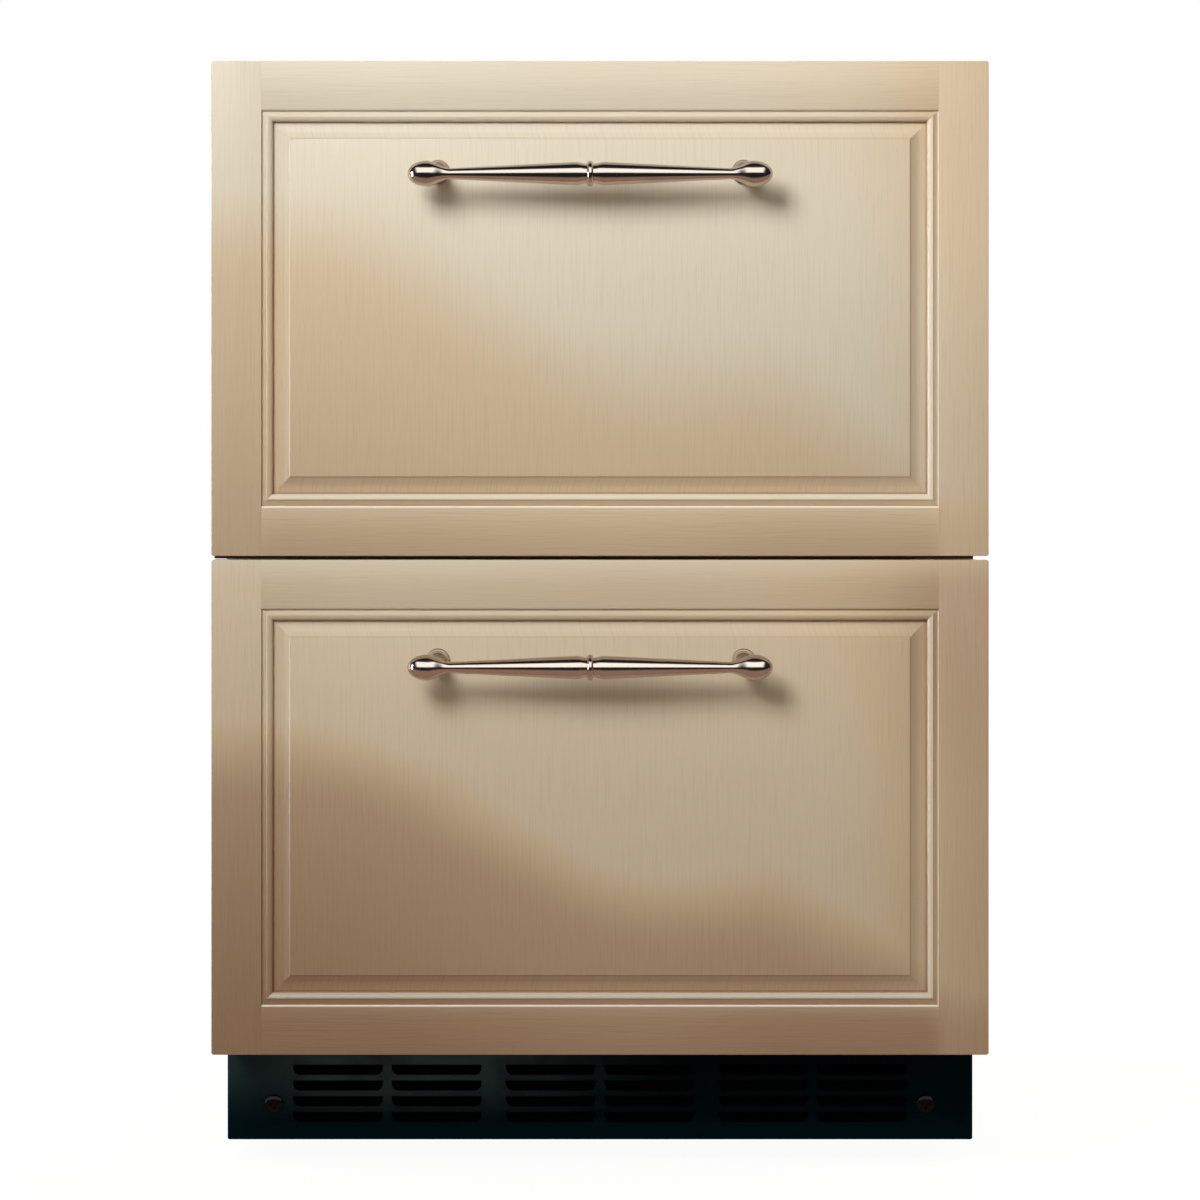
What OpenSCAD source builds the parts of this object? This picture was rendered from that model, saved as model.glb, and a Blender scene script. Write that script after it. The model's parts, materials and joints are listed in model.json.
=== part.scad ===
// Undercounter drawer refrigerator: two drawers with framed overlay fronts and
// turned bar handles, one insulated cabinet, and a base with a louvred toe-kick.
// Millimetres. +X is right, the fronts face -Y, +Z is up and the floor is z = 0.
// The origin is under the middle of the whole object, handles included.

/* [Fronts] */
// Width of each drawer front
front_w = 603; // [560:1:640]
// Height of each drawer front
front_h = 384; // [375:1:400]
// Gap between the two fronts
front_gap = 3; // [2:0.5:6]
// Thickness of the fronts
front_t = 19; // [17:0.5:24]
// Height of the lower front's bottom edge above the floor
toe_space = 99; // [90:1:110]
// Radius on the fronts' outer edges
front_edge_r = 1; // [0.5:0.5:5]
// Width of the stiles and rails
frame_w = 38; // [30:1:45]
// Width of the beaded moulding inside the frame
mould_w = 9.6; // [8:0.1:12]
// Depth from the frame's face to the back of the moulding
mould_t = 12; // [9:0.5:14]
// Width of the fine step between the frame and the bead
quirk_w = 1.2; // [0.8:0.1:2]
// Depth of the fine step
quirk_d = 1.6; // [1:0.1:3]
// Depth of the groove between the moulding and the raised field
groove_d = 6.5; // [5:0.1:8]
// Width of the sloping border of the raised field
bevel_w = 13.9; // [10:0.1:20]
// Height of the small shoulder at the top of that border
shoulder_h = 1.4; // [0.5:0.1:3]
// How far the raised field lies behind the frame's face
field_set = 0.5; // [0:0.1:2]

/* [Handles] */
// Length of the handle bar, tip to tip
handle_len = 283.4; // [240:0.1:340]
// Distance of the bar's axis in front of the fronts
handle_out = 28; // [24:0.5:40]
// Handle's middle, left or right of the front's middle
handle_shift = -7.2; // [-20:0.1:20]
// Upper handle's axis below the top edge of its front
upper_handle_drop = 90; // [80:1:120]
// Lower handle's axis below the top edge of its front
lower_handle_drop = 82; // [80:1:120]
// Largest radius of the egg-shaped ends
egg_r = 10; // [8:0.1:13]
// Distance from a tip to the fattest place of the egg
egg_fat = 14.8; // [12:0.1:18]
// Distance from a tip to the neck behind the egg
egg_len = 33; // [28:0.5:40]
// Radius of the neck
neck_r = 4.4; // [3.5:0.1:6]
// Radius of the bar where it is fattest, beside the middle ring
taper_r = 8.9; // [7:0.1:10]
// Radius of the bar at the middle ring
waist_r = 8; // [6:0.1:9]
// Length of each stretch between the fattest place and the ring
waist_len = 9; // [6:0.5:14]
// Radius of the middle ring
ring_r = 10; // [9:0.1:13]
// Width of the middle ring
ring_w = 5; // [3:0.5:9]
// Distance between the two posts
post_span = 237; // [200:1:260]
// Height of the posts' feet above the bar's axis
post_rise = 4; // [0:0.5:6]
// Radius of a post at its foot
post_foot_r = 7.4; // [6:0.1:9]
// Radius of a post where it enters the bar
post_tip_r = 4.6; // [3.5:0.1:6]
// Radius of the foot flange
flange_r = 9.3; // [8:0.1:13]
// Thickness of the foot flange
flange_t = 2.5; // [1.5:0.1:4]
// Radius of the handle screws
handle_screw_r = 2; // [1.5:0.1:2.5]

/* [Cabinet] */
// Width of the cabinet
cab_w = 594; // [550:1:600]
// Upper front's top edge above the cabinet's top
top_rise = 6; // [2:0.5:10]
// Depth of the cabinet, without doors
cab_d = 533; // [500:1:560]
// Thickness of the case's sheet steel
sheet_t = 1; // [0.6:0.1:1.5]
// Thickness of the inner liner
liner_t = 2; // [1.5:0.1:3]
// Width of the liner's lap over the front edge
liner_lap = 20; // [15:1:22]
// Side wall, from the outside to the inside of the liner
side_wall = 47; // [42:1:50]
// Top wall
top_wall = 43; // [41:1:45]
// Floor, from the base to the inside of the liner
floor_wall = 47; // [42:1:52]
// Back wall
back_wall = 50; // [40:1:60]
// Depth of the bar between the two openings
mullion_d = 50; // [35:1:70]
// Cover of the bar beyond the seals that meet it
seal_margin = 3; // [1:0.5:6]

/* [Machine compartment] */
// Depth of the machine compartment at the rear
mach_d = 189; // [180:1:200]
// Height of the machine compartment above the base
mach_h = 162; // [150:1:175]
// Insulated wall around the machine compartment
mach_wall = 43; // [35:1:45]
// Radius of the compressor's shell
comp_r = 70; // [55:1:74]
// Height of the compressor's shell
comp_h = 150; // [120:1:165]
// Radius of the condenser fan
cond_fan_r = 66; // [50:1:70]
// Radius of the evaporator fan
evap_fan_r = 46; // [35:1:48]
// Radius of the fan shafts
shaft_r = 3; // [2:0.5:4]
// Number of blades on each fan
fan_blades = 5; // [3:1:9]
// Space for the cooling coil behind its cover
evap_space = 46; // [42:1:50]

/* [Base] */
// Height of the base's sheet floor above the room's floor
base_z = 22; // [20:1:30]
// Thickness of the base's sheet
base_t = 1.5; // [1:0.1:3]
// Height of the base
base_h = 78; // [70:1:85]
// Setback of the toe-kick behind the fronts' faces
kick_recess = 75; // [71:1:90]
// Height of the toe-kick's lower edge above the floor
kick_z = 19; // [15:1:21]
// Thickness of the toe-kick
kick_t = 2; // [1.5:0.1:4]
// Space between the toe-kick's top edge and the base's top edge
kick_drop = 3; // [1:0.5:8]
// Rows of louvres
louvre_rows = 4; // [1:1:4]
// Height of a louvre
louvre_h = 8.3; // [6:0.1:9]
// Distance between rows of louvres
louvre_pitch = 12.6; // [12:0.1:14]
// Width of a louvre
louvre_w = 71.5; // [50:0.5:73]
// Distance between the two louvres of a pair
louvre_step = 78.7; // [76:0.1:80]
// Distance between pairs of louvres
pair_pitch = 169.6; // [160:0.1:172]
// Height of the lowest row above the toe-kick's lower edge
louvre_low = 17.8; // [14:0.1:20]
// Toe-kick screws, left and right of the middle
kick_screw_x = 259.7; // [258:0.1:265]
// Toe-kick screws above the toe-kick's lower edge
kick_screw_rise = 28.6; // [20:0.1:40]
// Radius of the toe-kick screws' heads
kick_head_r = 7.3; // [5:0.1:8]

/* [Levelling legs] */
// Radius of the threaded studs
stud_r = 5; // [4:0.5:6]
// Radius of the foot pads
pad_r = 18; // [14:1:22]
// Height of the foot pads
pad_h = 12; // [10:1:13]
// Downward travel of each leg
leg_travel = 18; // [10:1:20]
// Legs inward from the cabinet's sides
leg_inset = 40; // [35:1:45]
// Front legs behind the toe-kick
leg_set = 132; // [95:1:140]
// Rear legs in front of the back of the base
leg_back = 32; // [26:1:40]

/* [Doors] */
// Thickness of the insulated doors behind the fronts
door_t = 42; // [35:1:50]
// Thickness of the door's sheet
pan_t = 1; // [0.6:0.1:1.5]
// Front's top edge above the door behind it
pan_top_inset = 12; // [9:0.5:13]
// Front's bottom edge below the door behind it
pan_low_inset = 4.5; // [3:0.5:6]
// Depth of the seal between door and cabinet
gasket_t = 8; // [5:0.5:10]
// Width of the seal
gasket_w = 10; // [8:0.5:11]
// Seal inward from the door's edge
gasket_inset = 3; // [2:0.5:5]
// How far the inner door reaches past the seal into the cabinet
plug_d = 8; // [4:0.5:12]

/* [Drawers] */
// Space between the upper slides and the coil's cover
upper_slide_space = 27; // [20:1:60]
// Space between the lower slides and the liner's step
lower_slide_space = 18; // [14:1:60]
// Height of the slides
slide_h = 45; // [35:1:45]
// Thickness of a closed slide
slide_w = 12.7; // [12:0.1:15]
// Thickness of the slides' sheet
slide_t = 1.5; // [1.2:0.1:2]
// Height of the steel side rails that carry a bin
rail_h = 70; // [65:1:90]
// Thickness of the side rails
rail_t = 1.5; // [1:0.1:2.5]
// Width of the ledge under the bin's edge
ledge_w = 14; // [8:1:25]
// Space between the upper bin's rim and the control housing
bin_space = 37; // [20:1:130]
// Wall of the bins
bin_wall = 2.5; // [2:0.1:4]
// Corner radius of the bins
bin_r = 18; // [8:1:30]
// Width of the rim around the bins
bin_rim = 6; // [4:0.5:9]

/* [Controls] */
// Width of the control housing under the ceiling
control_w = 220; // [160:1:300]
// Height of the control housing
control_h = 24; // [20:1:26]
// Radius of the buttons
button_r = 6; // [4:0.5:8]
// Travel of the buttons
button_travel = 1; // [0.5:0.1:2]
// Distance between the buttons
button_pitch = 22; // [18:1:40]

/* [Hidden] */
$fn = 64;

// Colours
paint = [0.80, 0.72, 0.60];
nickel = [0.42, 0.38, 0.35];
steel = [0.72, 0.73, 0.74];
white = [0.93, 0.94, 0.94];
foam_colour = [0.93, 0.87, 0.68];
black = [0.06, 0.06, 0.065];
grey = [0.55, 0.56, 0.58];
clear = [0.85, 0.90, 0.92];

// Clearances
snug = 0.05;      // radial play of a screw, shaft or stud in its hole
slip = 0.3;       // play between parts that slide past each other
cut = 1;          // how far a cutting shape reaches past what it cuts
screw_play = 0.2; // radial play of a cover screw in its hole

// Planes from front to back
handle_front = handle_out + max(egg_r, ring_r);
total_d = handle_front + front_t + door_t + gasket_t + cab_d;
y_face = handle_front - total_d / 2;
y_field = y_face + field_set;
y_door = y_face + front_t;
y_seal = y_door + door_t;
y_cab = y_seal + gasket_t;
y_back = y_cab + cab_d;
y_plug = y_cab + plug_d;
y_kick = y_face + kick_recess;
y_base = y_kick + kick_t;
handle_y = y_face - handle_out;
head_bed = 4;

// Heights
lower_z = toe_space;
upper_z = lower_z + front_h + front_gap;
base_top = base_z + base_h;
cab_top = upper_z + front_h - top_rise;
cavity_z0 = base_top + floor_wall;
cavity_z1 = cab_top - top_wall;
mullion_z0 = lower_z + front_h - pan_top_inset - gasket_inset - gasket_w - seal_margin;
mullion_z1 = upper_z + pan_low_inset + gasket_inset + gasket_w + seal_margin;

// Widths, measured from the middle
half_cab = cab_w / 2;
half_in = half_cab - side_wall;
flange_in = half_in + liner_lap;
seal_z1 = cavity_z1 + liner_lap;
seal_z0 = cavity_z0 - liner_lap;

// Machine compartment and the step that it makes in the liner
mach_y = y_back - mach_d;
mach_top = base_top + mach_h;
step_y = mach_y - mach_wall;
step_z = mach_top + mach_wall;
liner_y = y_back - back_wall;
evap_y = liner_y - evap_space;
evap_cover_t = 2;
screw_head_h = 2;
cover_y = y_back - screw_head_h;
base_y1 = cover_y - sheet_t;

// Drawer running gear
drawer_lift = 7;
slide_x = half_in - slide_w;
upper_slide_len = evap_y - evap_cover_t - upper_slide_space - y_plug;
lower_slide_len = step_y - lower_slide_space - y_plug;
upper_rail_z = mullion_z1 + drawer_lift;
lower_rail_z = cavity_z0 + drawer_lift;
bin_h = cavity_z1 - control_h - bin_space - upper_rail_z - rail_t;
slide_rise = rail_h / 2;
rail_in = slide_x - rail_t;
bin_half = rail_in - 2 * slip;
bin_y = y_plug + rail_t + slip + bin_rim;
bin_tail = 8;
rail_flange = 30;
slide_y = y_plug;
plug_gap = 4;

// Nested members of a slide: half heights, and places across it from the liner
outer_in = slide_h / 2 - slide_t;
outer_balls = 4.5;
inner_balls = 3;
middle_out = outer_in - outer_balls;
middle_in = middle_out - slide_t;
inner_out = middle_in - inner_balls;
web_gap = 0.8;
middle_web = slide_t + web_gap;
strip_back = 1;
middle_short = 2.4;
middle_tip = slide_w - middle_short;
outer_tip = middle_tip - slip;

// Legs
leg_x = half_cab - leg_inset;
leg_y_front = y_kick + leg_set;
leg_y_rear = base_y1 - leg_back;
socket_z = 3;
boss_h = 14;
boss_wall = 5;

// Cooling parts
comp_side = 157;
comp_x = half_cab - comp_side;
comp_y = (mach_y + base_y1) / 2;
grommet_h = 12;
cond_side = 82;
cond_x = cond_side - half_cab;
cond_w = 60;
cond_gap = 37;
shroud_x = cond_x + cond_w + cond_gap;
shroud_t = 2;
cond_fan_rise = 20;
cond_fan_z = base_z + base_t + cond_fan_r + cond_fan_rise;
evap_fan_drop = 22;
evap_fan_z = cavity_z1 - evap_fan_r - evap_fan_drop;
coil_low = 20;
coil_gap = 12.5;
coil_back = 3;
fan_gap = 3;
hub_z = fan_gap - 1;
cond_hub_l = 20;
evap_hub_l = 14;
fan_hole_play = 3;
evap_cover_side = 18;
evap_cover_rise = 25;

// Toe-kick and cover screws
cover_screw_r = 1.8;
cover_head_r = 4.5;
kick_shank_r = 2;
tab_x = kick_screw_x - 7.5;
cover_low_z = base_z + 38;
cover_screws_x = [-half_cab + 25, 0, half_cab - 25];
cover_rows_z = [cover_low_z + 12, mach_top - 12];

// Controls
control_set = 7;
control_d = 88;
control_y0 = y_plug + control_set;
control_y1 = control_y0 + control_d;
button_z = cavity_z1 - control_h / 2;
button_out = 1.5;
button_l = 8;
lens_h = 6;
lens_d = 15;
lens_w = 200;
lens_gap = 10;
lens_y = [control_y1 + lens_gap, y_cab + lens_d];

// Mounting brackets
bracket_x = 200;
bracket_w = 34;
bracket_t = 2;
bracket_out = 19;
bracket_back = 43;
bracket_hole_r = 2.5;
bracket_hole_step = 20;
bracket_hole_y = y_cab - 11;

// Power inlet
inlet_x = -20;
inlet_z = base_top + 60;
inlet_body_half = [13.5, 10];
inlet_plate_half = [20, 14];
inlet_mouth_half = [12, 8];
inlet_body_d = 20;
inlet_mouth_d = 14;
pin_l = 13;
pin_size = [2, 4];

// A box between two opposite corners
module block(lo, hi) {
    translate(lo) cube(hi - lo);
}

// A box that is the same to the left and right of the middle
module middle_block(half, y0, y1, z0, z1) {
    block([-half, y0, z0], [half, y1, z1]);
}

// A shape and its mirror image across the middle
module both_sides() {
    children();
    mirror([1, 0, 0]) children();
}

// A rod along Y, from y0 to y1
module rod_y(x, z, r, y0, y1) {
    translate([x, y0, z]) rotate([-90, 0, 0]) cylinder(h = y1 - y0, r = r);
}

// A rod along Z
module rod_z(x, y, r, z0, z1) {
    translate([x, y, z0]) cylinder(h = z1 - z0, r = r);
}

// A rectangle with round corners, centred in x and starting at y = 0
module round_rect(half, l, r) {
    translate([-half, r]) square([2 * half, l - 2 * r]);
    translate([-half + r, 0]) square([2 * (half - r), l]);
    for (x = [-half + r, half - r]) {
        for (y = [r, l - r]) {
            translate([x, y]) circle(r = r);
        }
    }
}

// ---- Cabinet ----

// Folded sheet over both sides and the top, with its front edge turned in
module case_wrapper() {
    color(steel) {
        both_sides() {
            block([half_cab - sheet_t, y_cab, base_top], [half_cab, y_back - sheet_t, cab_top]);
            block([flange_in, y_cab, base_top], [half_cab, y_cab + sheet_t, cab_top]);
        }
        middle_block(half_cab, y_cab, y_back - sheet_t, cab_top - sheet_t, cab_top);
        middle_block(flange_in + cut, y_cab, y_cab + sheet_t, seal_z1, cab_top);
    }
}

// Stepped sheet under the insulation: floor, front of the machine space, its roof
module case_floor() {
    half = half_cab - sheet_t;
    color(steel) {
        middle_block(half, y_cab + sheet_t, mach_y, base_top, base_top + sheet_t);
        middle_block(half, mach_y - sheet_t, mach_y, base_top, mach_top + sheet_t);
        middle_block(half, mach_y - sheet_t, y_back - sheet_t, mach_top, mach_top + sheet_t);
        middle_block(flange_in, y_cab, y_cab + sheet_t, base_top, seal_z0);
    }
}

// Sheet that closes the back above the machine compartment
module back_panel() {
    color(steel) middle_block(half_cab, y_back - sheet_t, y_back, mach_top, cab_top);
}

// Space that the liner and the step take out of the insulation
module liner_outside() {
    half = half_in + liner_t;
    z0 = cavity_z0 - liner_t;
    z1 = cavity_z1 + liner_t;
    middle_block(half, y_cab - cut, step_y + liner_t, z0, z1);
    middle_block(half, y_cab - cut, liner_y + liner_t, step_z - liner_t, z1);
}

// Foam between the case and the liner
module cabinet_foam() {
    color(foam_colour) difference() {
        middle_block(half_cab - sheet_t, y_cab + liner_t, y_back - sheet_t,
            base_top + sheet_t, cab_top - sheet_t);
        liner_outside();
        middle_block(half_cab, mach_y - sheet_t, y_back, base_top, mach_top + sheet_t);
    }
}

// One-piece inner liner with a step over the machine compartment
module liner() {
    color(white) difference() {
        union() {
            intersection() {
                liner_outside();
                middle_block(half_cab, y_cab, y_back, base_top, cab_top);
            }
            middle_block(flange_in, y_cab, y_cab + liner_t, seal_z0, seal_z1);
        }
        middle_block(half_in, y_cab - cut, step_y, cavity_z0, cavity_z1);
        middle_block(half_in, y_cab - cut, liner_y, step_z, cavity_z1);
    }
}

// Insulated bar between the two openings
module mullion() {
    color(steel) middle_block(half_in, y_cab, y_cab + mullion_d, mullion_z0, mullion_z1);
}

// ---- Base ----

// Sheet base: floor, side walls, rear wall, two front tabs and the leg bosses
module base_frame() {
    boss_r = stud_r + boss_wall;
    color(black) difference() {
        union() {
            middle_block(half_cab, y_base, base_y1, base_z, base_z + base_t);
            both_sides() {
                block([half_cab - base_t, y_base, base_z], [half_cab, base_y1, base_top]);
                block([tab_x, y_base, base_z], [half_cab, y_base + base_t, base_top]);
            }
            middle_block(half_cab, base_y1 - base_t, base_y1, base_z, base_top);
            for (x = [-leg_x, leg_x]) {
                for (y = [leg_y_front, leg_y_rear]) {
                    rod_z(x, y, boss_r, base_z, base_z + base_t + boss_h);
                }
            }
        }
        for (x = [-leg_x, leg_x]) {
            for (y = [leg_y_front, leg_y_rear]) {
                rod_z(x, y, stud_r + snug, base_z - cut, base_z + base_t + boss_h + cut);
            }
        }
        for (x = [-kick_screw_x, kick_screw_x]) {
            rod_y(x, kick_z + kick_screw_rise, kick_shank_r + screw_play,
                y_base - cut, y_base + base_t + cut);
        }
        for (x = cover_screws_x) {
            rod_y(x, cover_rows_z[0], cover_screw_r + screw_play,
                base_y1 - base_t - cut, base_y1 + cut);
        }
    }
}

// Outline of one louvre: straight top edge, round lower corners
module louvre_outline() {
    r = louvre_h * 0.65;
    translate([-louvre_w / 2, r - louvre_h / 2]) square([louvre_w, louvre_h - r]);
    translate([r - louvre_w / 2, -louvre_h / 2]) square([louvre_w - 2 * r, louvre_h]);
    for (x = [-louvre_w / 2 + r, louvre_w / 2 - r]) {
        translate([x, r - louvre_h / 2]) circle(r = r);
    }
}

// Places its children at every louvre
module at_louvres() {
    for (row = [0 : louvre_rows - 1]) {
        for (pair = [-1 : 1]) {
            for (side = [-0.5, 0.5]) {
                translate([pair * pair_pitch + side * louvre_step, 0,
                    kick_z + louvre_low + row * louvre_pitch]) children();
            }
        }
    }
}

// Toe-kick with louvres and a sloping blade behind each
module toe_kick() {
    blade_l = louvre_h + 1;
    blade_t = 1;
    blade_angle = -52;
    blade_lap = 0.5;
    blade_sink = 0.3;
    color(black) {
        difference() {
            middle_block(half_cab, y_kick, y_base, kick_z, base_top - kick_drop);
            at_louvres() translate([0, y_base + cut, 0]) rotate([90, 0, 0])
                linear_extrude(kick_t + 2 * cut) louvre_outline();
            for (x = [-kick_screw_x, kick_screw_x]) {
                rod_y(x, kick_z + kick_screw_rise, kick_shank_r + screw_play,
                    y_kick - cut, y_base + cut);
            }
        }
        at_louvres() translate([-louvre_w / 2 - blade_lap, y_base - kick_t / 2,
            louvre_h / 2 + blade_sink]) rotate([blade_angle, 0, 0])
                cube([louvre_w + 2 * blade_lap, blade_l, blade_t]);
    }
}

// A screw along +Y with a crossed recess in its head; the head starts at y0
module cross_screw(x, z, y0, head_r, head_h, shank_r, shank_l) {
    slot_w = head_r / 5;
    difference() {
        union() {
            rod_y(x, z, head_r, y0, y0 + head_h);
            rod_y(x, z, shank_r, y0 + head_h - cut, y0 + head_h + shank_l);
        }
        for (turn = [0, 90]) {
            translate([x, y0, z]) rotate([0, turn, 0])
                cube([head_r, head_h, slot_w], center = true);
        }
    }
}

// Two toe-kick screws and six rear cover screws
module cover_screws() {
    shank_l = 8;
    color(steel) {
        for (x = [-kick_screw_x, kick_screw_x]) {
            cross_screw(x, kick_z + kick_screw_rise, y_kick - screw_head_h, kick_head_r,
                screw_head_h, kick_shank_r, shank_l);
        }
        for (x = cover_screws_x) {
            for (z = cover_rows_z) {
                translate([x, cover_y, z]) rotate([0, 0, 180])
                    cross_screw(0, 0, -screw_head_h, cover_head_r, screw_head_h,
                        cover_screw_r, shank_l);
            }
        }
    }
}

// Vented sheet over the back of the machine compartment
module machine_cover() {
    slot_l = 90;
    slot_h = 5;
    slot_pitch = 12;
    slot_rows = 7;
    slot_low = 20;
    slot_side = 87;
    color(steel) difference() {
        middle_block(half_cab - base_t, base_y1, cover_y, cover_low_z, mach_top);
        for (row = [0 : slot_rows - 1]) {
            for (x = [slot_side - half_cab, half_cab - slot_side - slot_l]) {
                translate([x, base_y1 - cut, base_top + slot_low + row * slot_pitch])
                    cube([slot_l, sheet_t + 2 * cut, slot_h]);
            }
        }
        for (x = cover_screws_x) {
            for (z = cover_rows_z) {
                rod_y(x, z, cover_screw_r + screw_play, base_y1 - cut, cover_y + cut);
            }
        }
        inlet_body(slip);
    }
}

// A box around the inlet's middle, given its half width and half height
module inlet_block(half, y0, y1) {
    block([inlet_x - half[0], y0, inlet_z - half[1]], [inlet_x + half[0], y1, inlet_z + half[1]]);
}

// Outer body of the power inlet behind the cover, grown by some play
module inlet_body(play) {
    inlet_block(inlet_body_half + [play, play], cover_y - inlet_body_d, cover_y + cut);
}

// Recessed inlet with three flat pins
module power_inlet() {
    color(black) {
        difference() {
            union() {
                inlet_block(inlet_plate_half, cover_y, cover_y + screw_head_h);
                inlet_body(0);
            }
            inlet_block(inlet_mouth_half, cover_y - inlet_mouth_d,
                cover_y + screw_head_h + cut);
        }
        for (pin = [[-7, -2], [0, 2], [7, -2]]) {
            translate([inlet_x + pin[0] - pin_size[0] / 2, cover_y - inlet_mouth_d - cut,
                inlet_z + pin[1] - pin_size[1] / 2]) cube([pin_size[0], pin_l, pin_size[1]]);
        }
    }
}

// Tray for melt water, on the base's floor
module drain_pan() {
    wall = 2;
    pan_w = 180;
    pan_d = 140;
    pan_h = 30;
    pan_set = 150;
    lo = [-pan_w / 2, y_base + pan_set, base_z + base_t];
    hi = lo + [pan_w, pan_d, pan_h];
    color(black) difference() {
        block(lo, hi);
        block(lo + [wall, wall, wall], hi + [-wall, -wall, cut]);
    }
}

// Steel plates that hold the cabinet up to a worktop
module mounting_brackets() {
    color(steel) for (side = [-1, 1]) {
        difference() {
            block([side * bracket_x - bracket_w / 2, y_cab - bracket_out, cab_top],
                [side * bracket_x + bracket_w / 2, y_cab + bracket_back, cab_top + bracket_t]);
            for (step = [-0.5, 0.5]) {
                rod_z(side * bracket_x + step * bracket_hole_step, bracket_hole_y,
                    bracket_hole_r, cab_top - cut, cab_top + bracket_t + cut);
            }
        }
    }
}

// ---- Levelling legs ----

// Foot pad with a socket for its stud
module leg_pad(x, y) {
    color(black) difference() {
        union() {
            rod_z(x, y, pad_r, 0, pad_h / 2);
            rod_z(x, y, pad_r / 2, 0, pad_h);
        }
        rod_z(x, y, stud_r + snug, socket_z, pad_h + cut);
    }
}

// Threaded stud, drawn plain, with a hexagon for a spanner
module leg_stud(x, y) {
    hex_r = 9;
    hex_h = 5;
    spare = 2;
    top = base_z + base_t + boss_h + leg_travel + spare;
    color(steel) {
        rod_z(x, y, stud_r, socket_z, top);
        translate([x, y, pad_h + slip]) cylinder(h = hex_h, r = hex_r, $fn = 6);
    }
}

// ---- Cooling parts ----

// Coil of straight tubes through flat fins. The tubes run along X.
module fin_coil(l, d, h, fins, rows, cols) {
    fin_t = 1;
    tube_r = 4;
    row_step = h / rows;
    col_step = d / cols;
    bend_l = 6;
    for (i = [1 : fins]) {
        translate([i * l / (fins + 1) - fin_t / 2, 0, 0]) cube([fin_t, d, h]);
    }
    for (r = [0 : rows - 1]) {
        for (c = [0 : cols - 1]) {
            translate([-bend_l, (c + 0.5) * col_step, (r + 0.5) * row_step])
                rotate([0, 90, 0]) cylinder(h = l + 2 * bend_l, r = tube_r);
        }
    }
    for (c = [0 : cols - 1]) {
        for (r = [0 : rows - 2]) {
            x = r % 2 == 0 ? l + bend_l : -bend_l;
            flip = r % 2 == 0 ? 0 : 180;
            translate([x, (c + 0.5) * col_step, (r + 1) * row_step])
                rotate([0, flip, 0]) rotate([90, 0, 0]) rotate([0, 0, -90])
                    rotate_extrude(angle = 180) translate([row_step / 2, 0])
                        circle(r = tube_r);
        }
    }
}

// Condenser in the machine compartment, with its end plates standing on the base
module condenser() {
    l = 120;
    h = 150;
    fins = 20;
    plate_t = 2;
    foot = 12;
    z0 = base_z + base_t;
    y0 = comp_y - l / 2;
    color(grey) {
        translate([cond_x + cond_w, y0, z0 + foot]) rotate([0, 0, 90])
            fin_coil(l, cond_w, h, fins, 5, 2);
        for (y = [y0, y0 + l]) {
            block([cond_x, y - plate_t / 2, z0], [cond_x + cond_w, y + plate_t / 2, z0 + foot + h]);
        }
    }
}

// Cooling coil behind the cover in the liner, held off the liner by its end plates
module evaporator() {
    l = 300;
    d = 36;
    z0 = mullion_z1 + coil_low;
    h = evap_fan_z - evap_fan_r - coil_gap - z0;
    fins = 24;
    plate_t = 2;
    y0 = liner_y - coil_back - d;
    color(grey) {
        translate([-l / 2, y0, z0]) fin_coil(l, d, h, fins, 6, 1);
        for (x = [-l / 2, l / 2]) {
            block([x - plate_t / 2, y0, z0], [x + plate_t / 2, liner_y, z0 + h]);
        }
    }
}

// Fan wheel: hub with a bore on its shaft and tilted blades; axis along Z
module fan_wheel(r, hub_l) {
    hub_r = r / 3.2;
    blade_t = 1.6;
    blade_w = hub_l * 1.4;
    root = 2;
    tilt = 35;
    color(white) difference() {
        union() {
            translate([0, 0, hub_z]) cylinder(h = hub_l, r = hub_r);
            for (i = [0 : fan_blades - 1]) {
                rotate([0, 0, i * 360 / fan_blades])
                    translate([hub_r - root, 0, hub_z + hub_l / 2])
                        rotate([tilt, 0, 0]) translate([0, -blade_w / 2, -blade_t / 2])
                            cube([r - hub_r, blade_w, blade_t]);
            }
        }
        translate([0, 0, -cut]) cylinder(h = hub_l + fan_gap + 2 * cut, r = shaft_r + snug);
    }
}

// Motor with its shaft on three posts behind a plate; the plate's back is z = 0
module fan_motor(r, hub_l) {
    arm_z = hub_l + 2 * fan_gap;
    arm_w = 5;
    arm_t = 3;
    post_r = 3;
    post_sink = 0.5;
    motor_r = r / 3;
    motor_l = 13;
    ring = r + fan_hole_play + post_r + 1;
    translate([0, 0, arm_z]) cylinder(h = motor_l, r = motor_r);
    translate([0, 0, hub_z - 1]) cylinder(h = arm_z, r = shaft_r);
    for (i = [0 : 2]) {
        rotate([0, 0, i * 120 + 30]) {
            translate([0, -arm_w / 2, arm_z + cut / 2]) cube([ring, arm_w, arm_t]);
            translate([ring, 0, -post_sink]) cylinder(h = arm_z + arm_t + cut + post_sink, r = post_r);
        }
    }
}

// Places a fan in the condenser's shroud, which faces along +X
module at_condenser_fan() {
    translate([shroud_x + shroud_t, comp_y, cond_fan_z]) rotate([0, 90, 0]) children();
}

// Places a fan behind the evaporator's cover, which faces along +Y
module at_evaporator_fan() {
    translate([0, evap_y, evap_fan_z]) rotate([-90, 0, 0]) children();
}

// Shroud plate beside the condenser, with the fan's motor
module condenser_fan_shroud() {
    half = 78;
    color(black) {
        difference() {
            block([shroud_x, comp_y - half, base_z + base_t],
                [shroud_x + shroud_t, comp_y + half, cond_fan_z + half]);
            at_condenser_fan() translate([0, 0, -shroud_t - cut])
                cylinder(h = shroud_t + 2 * cut, r = cond_fan_r + fan_hole_play);
        }
        at_condenser_fan() fan_motor(cond_fan_r, cond_hub_l);
    }
}

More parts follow.
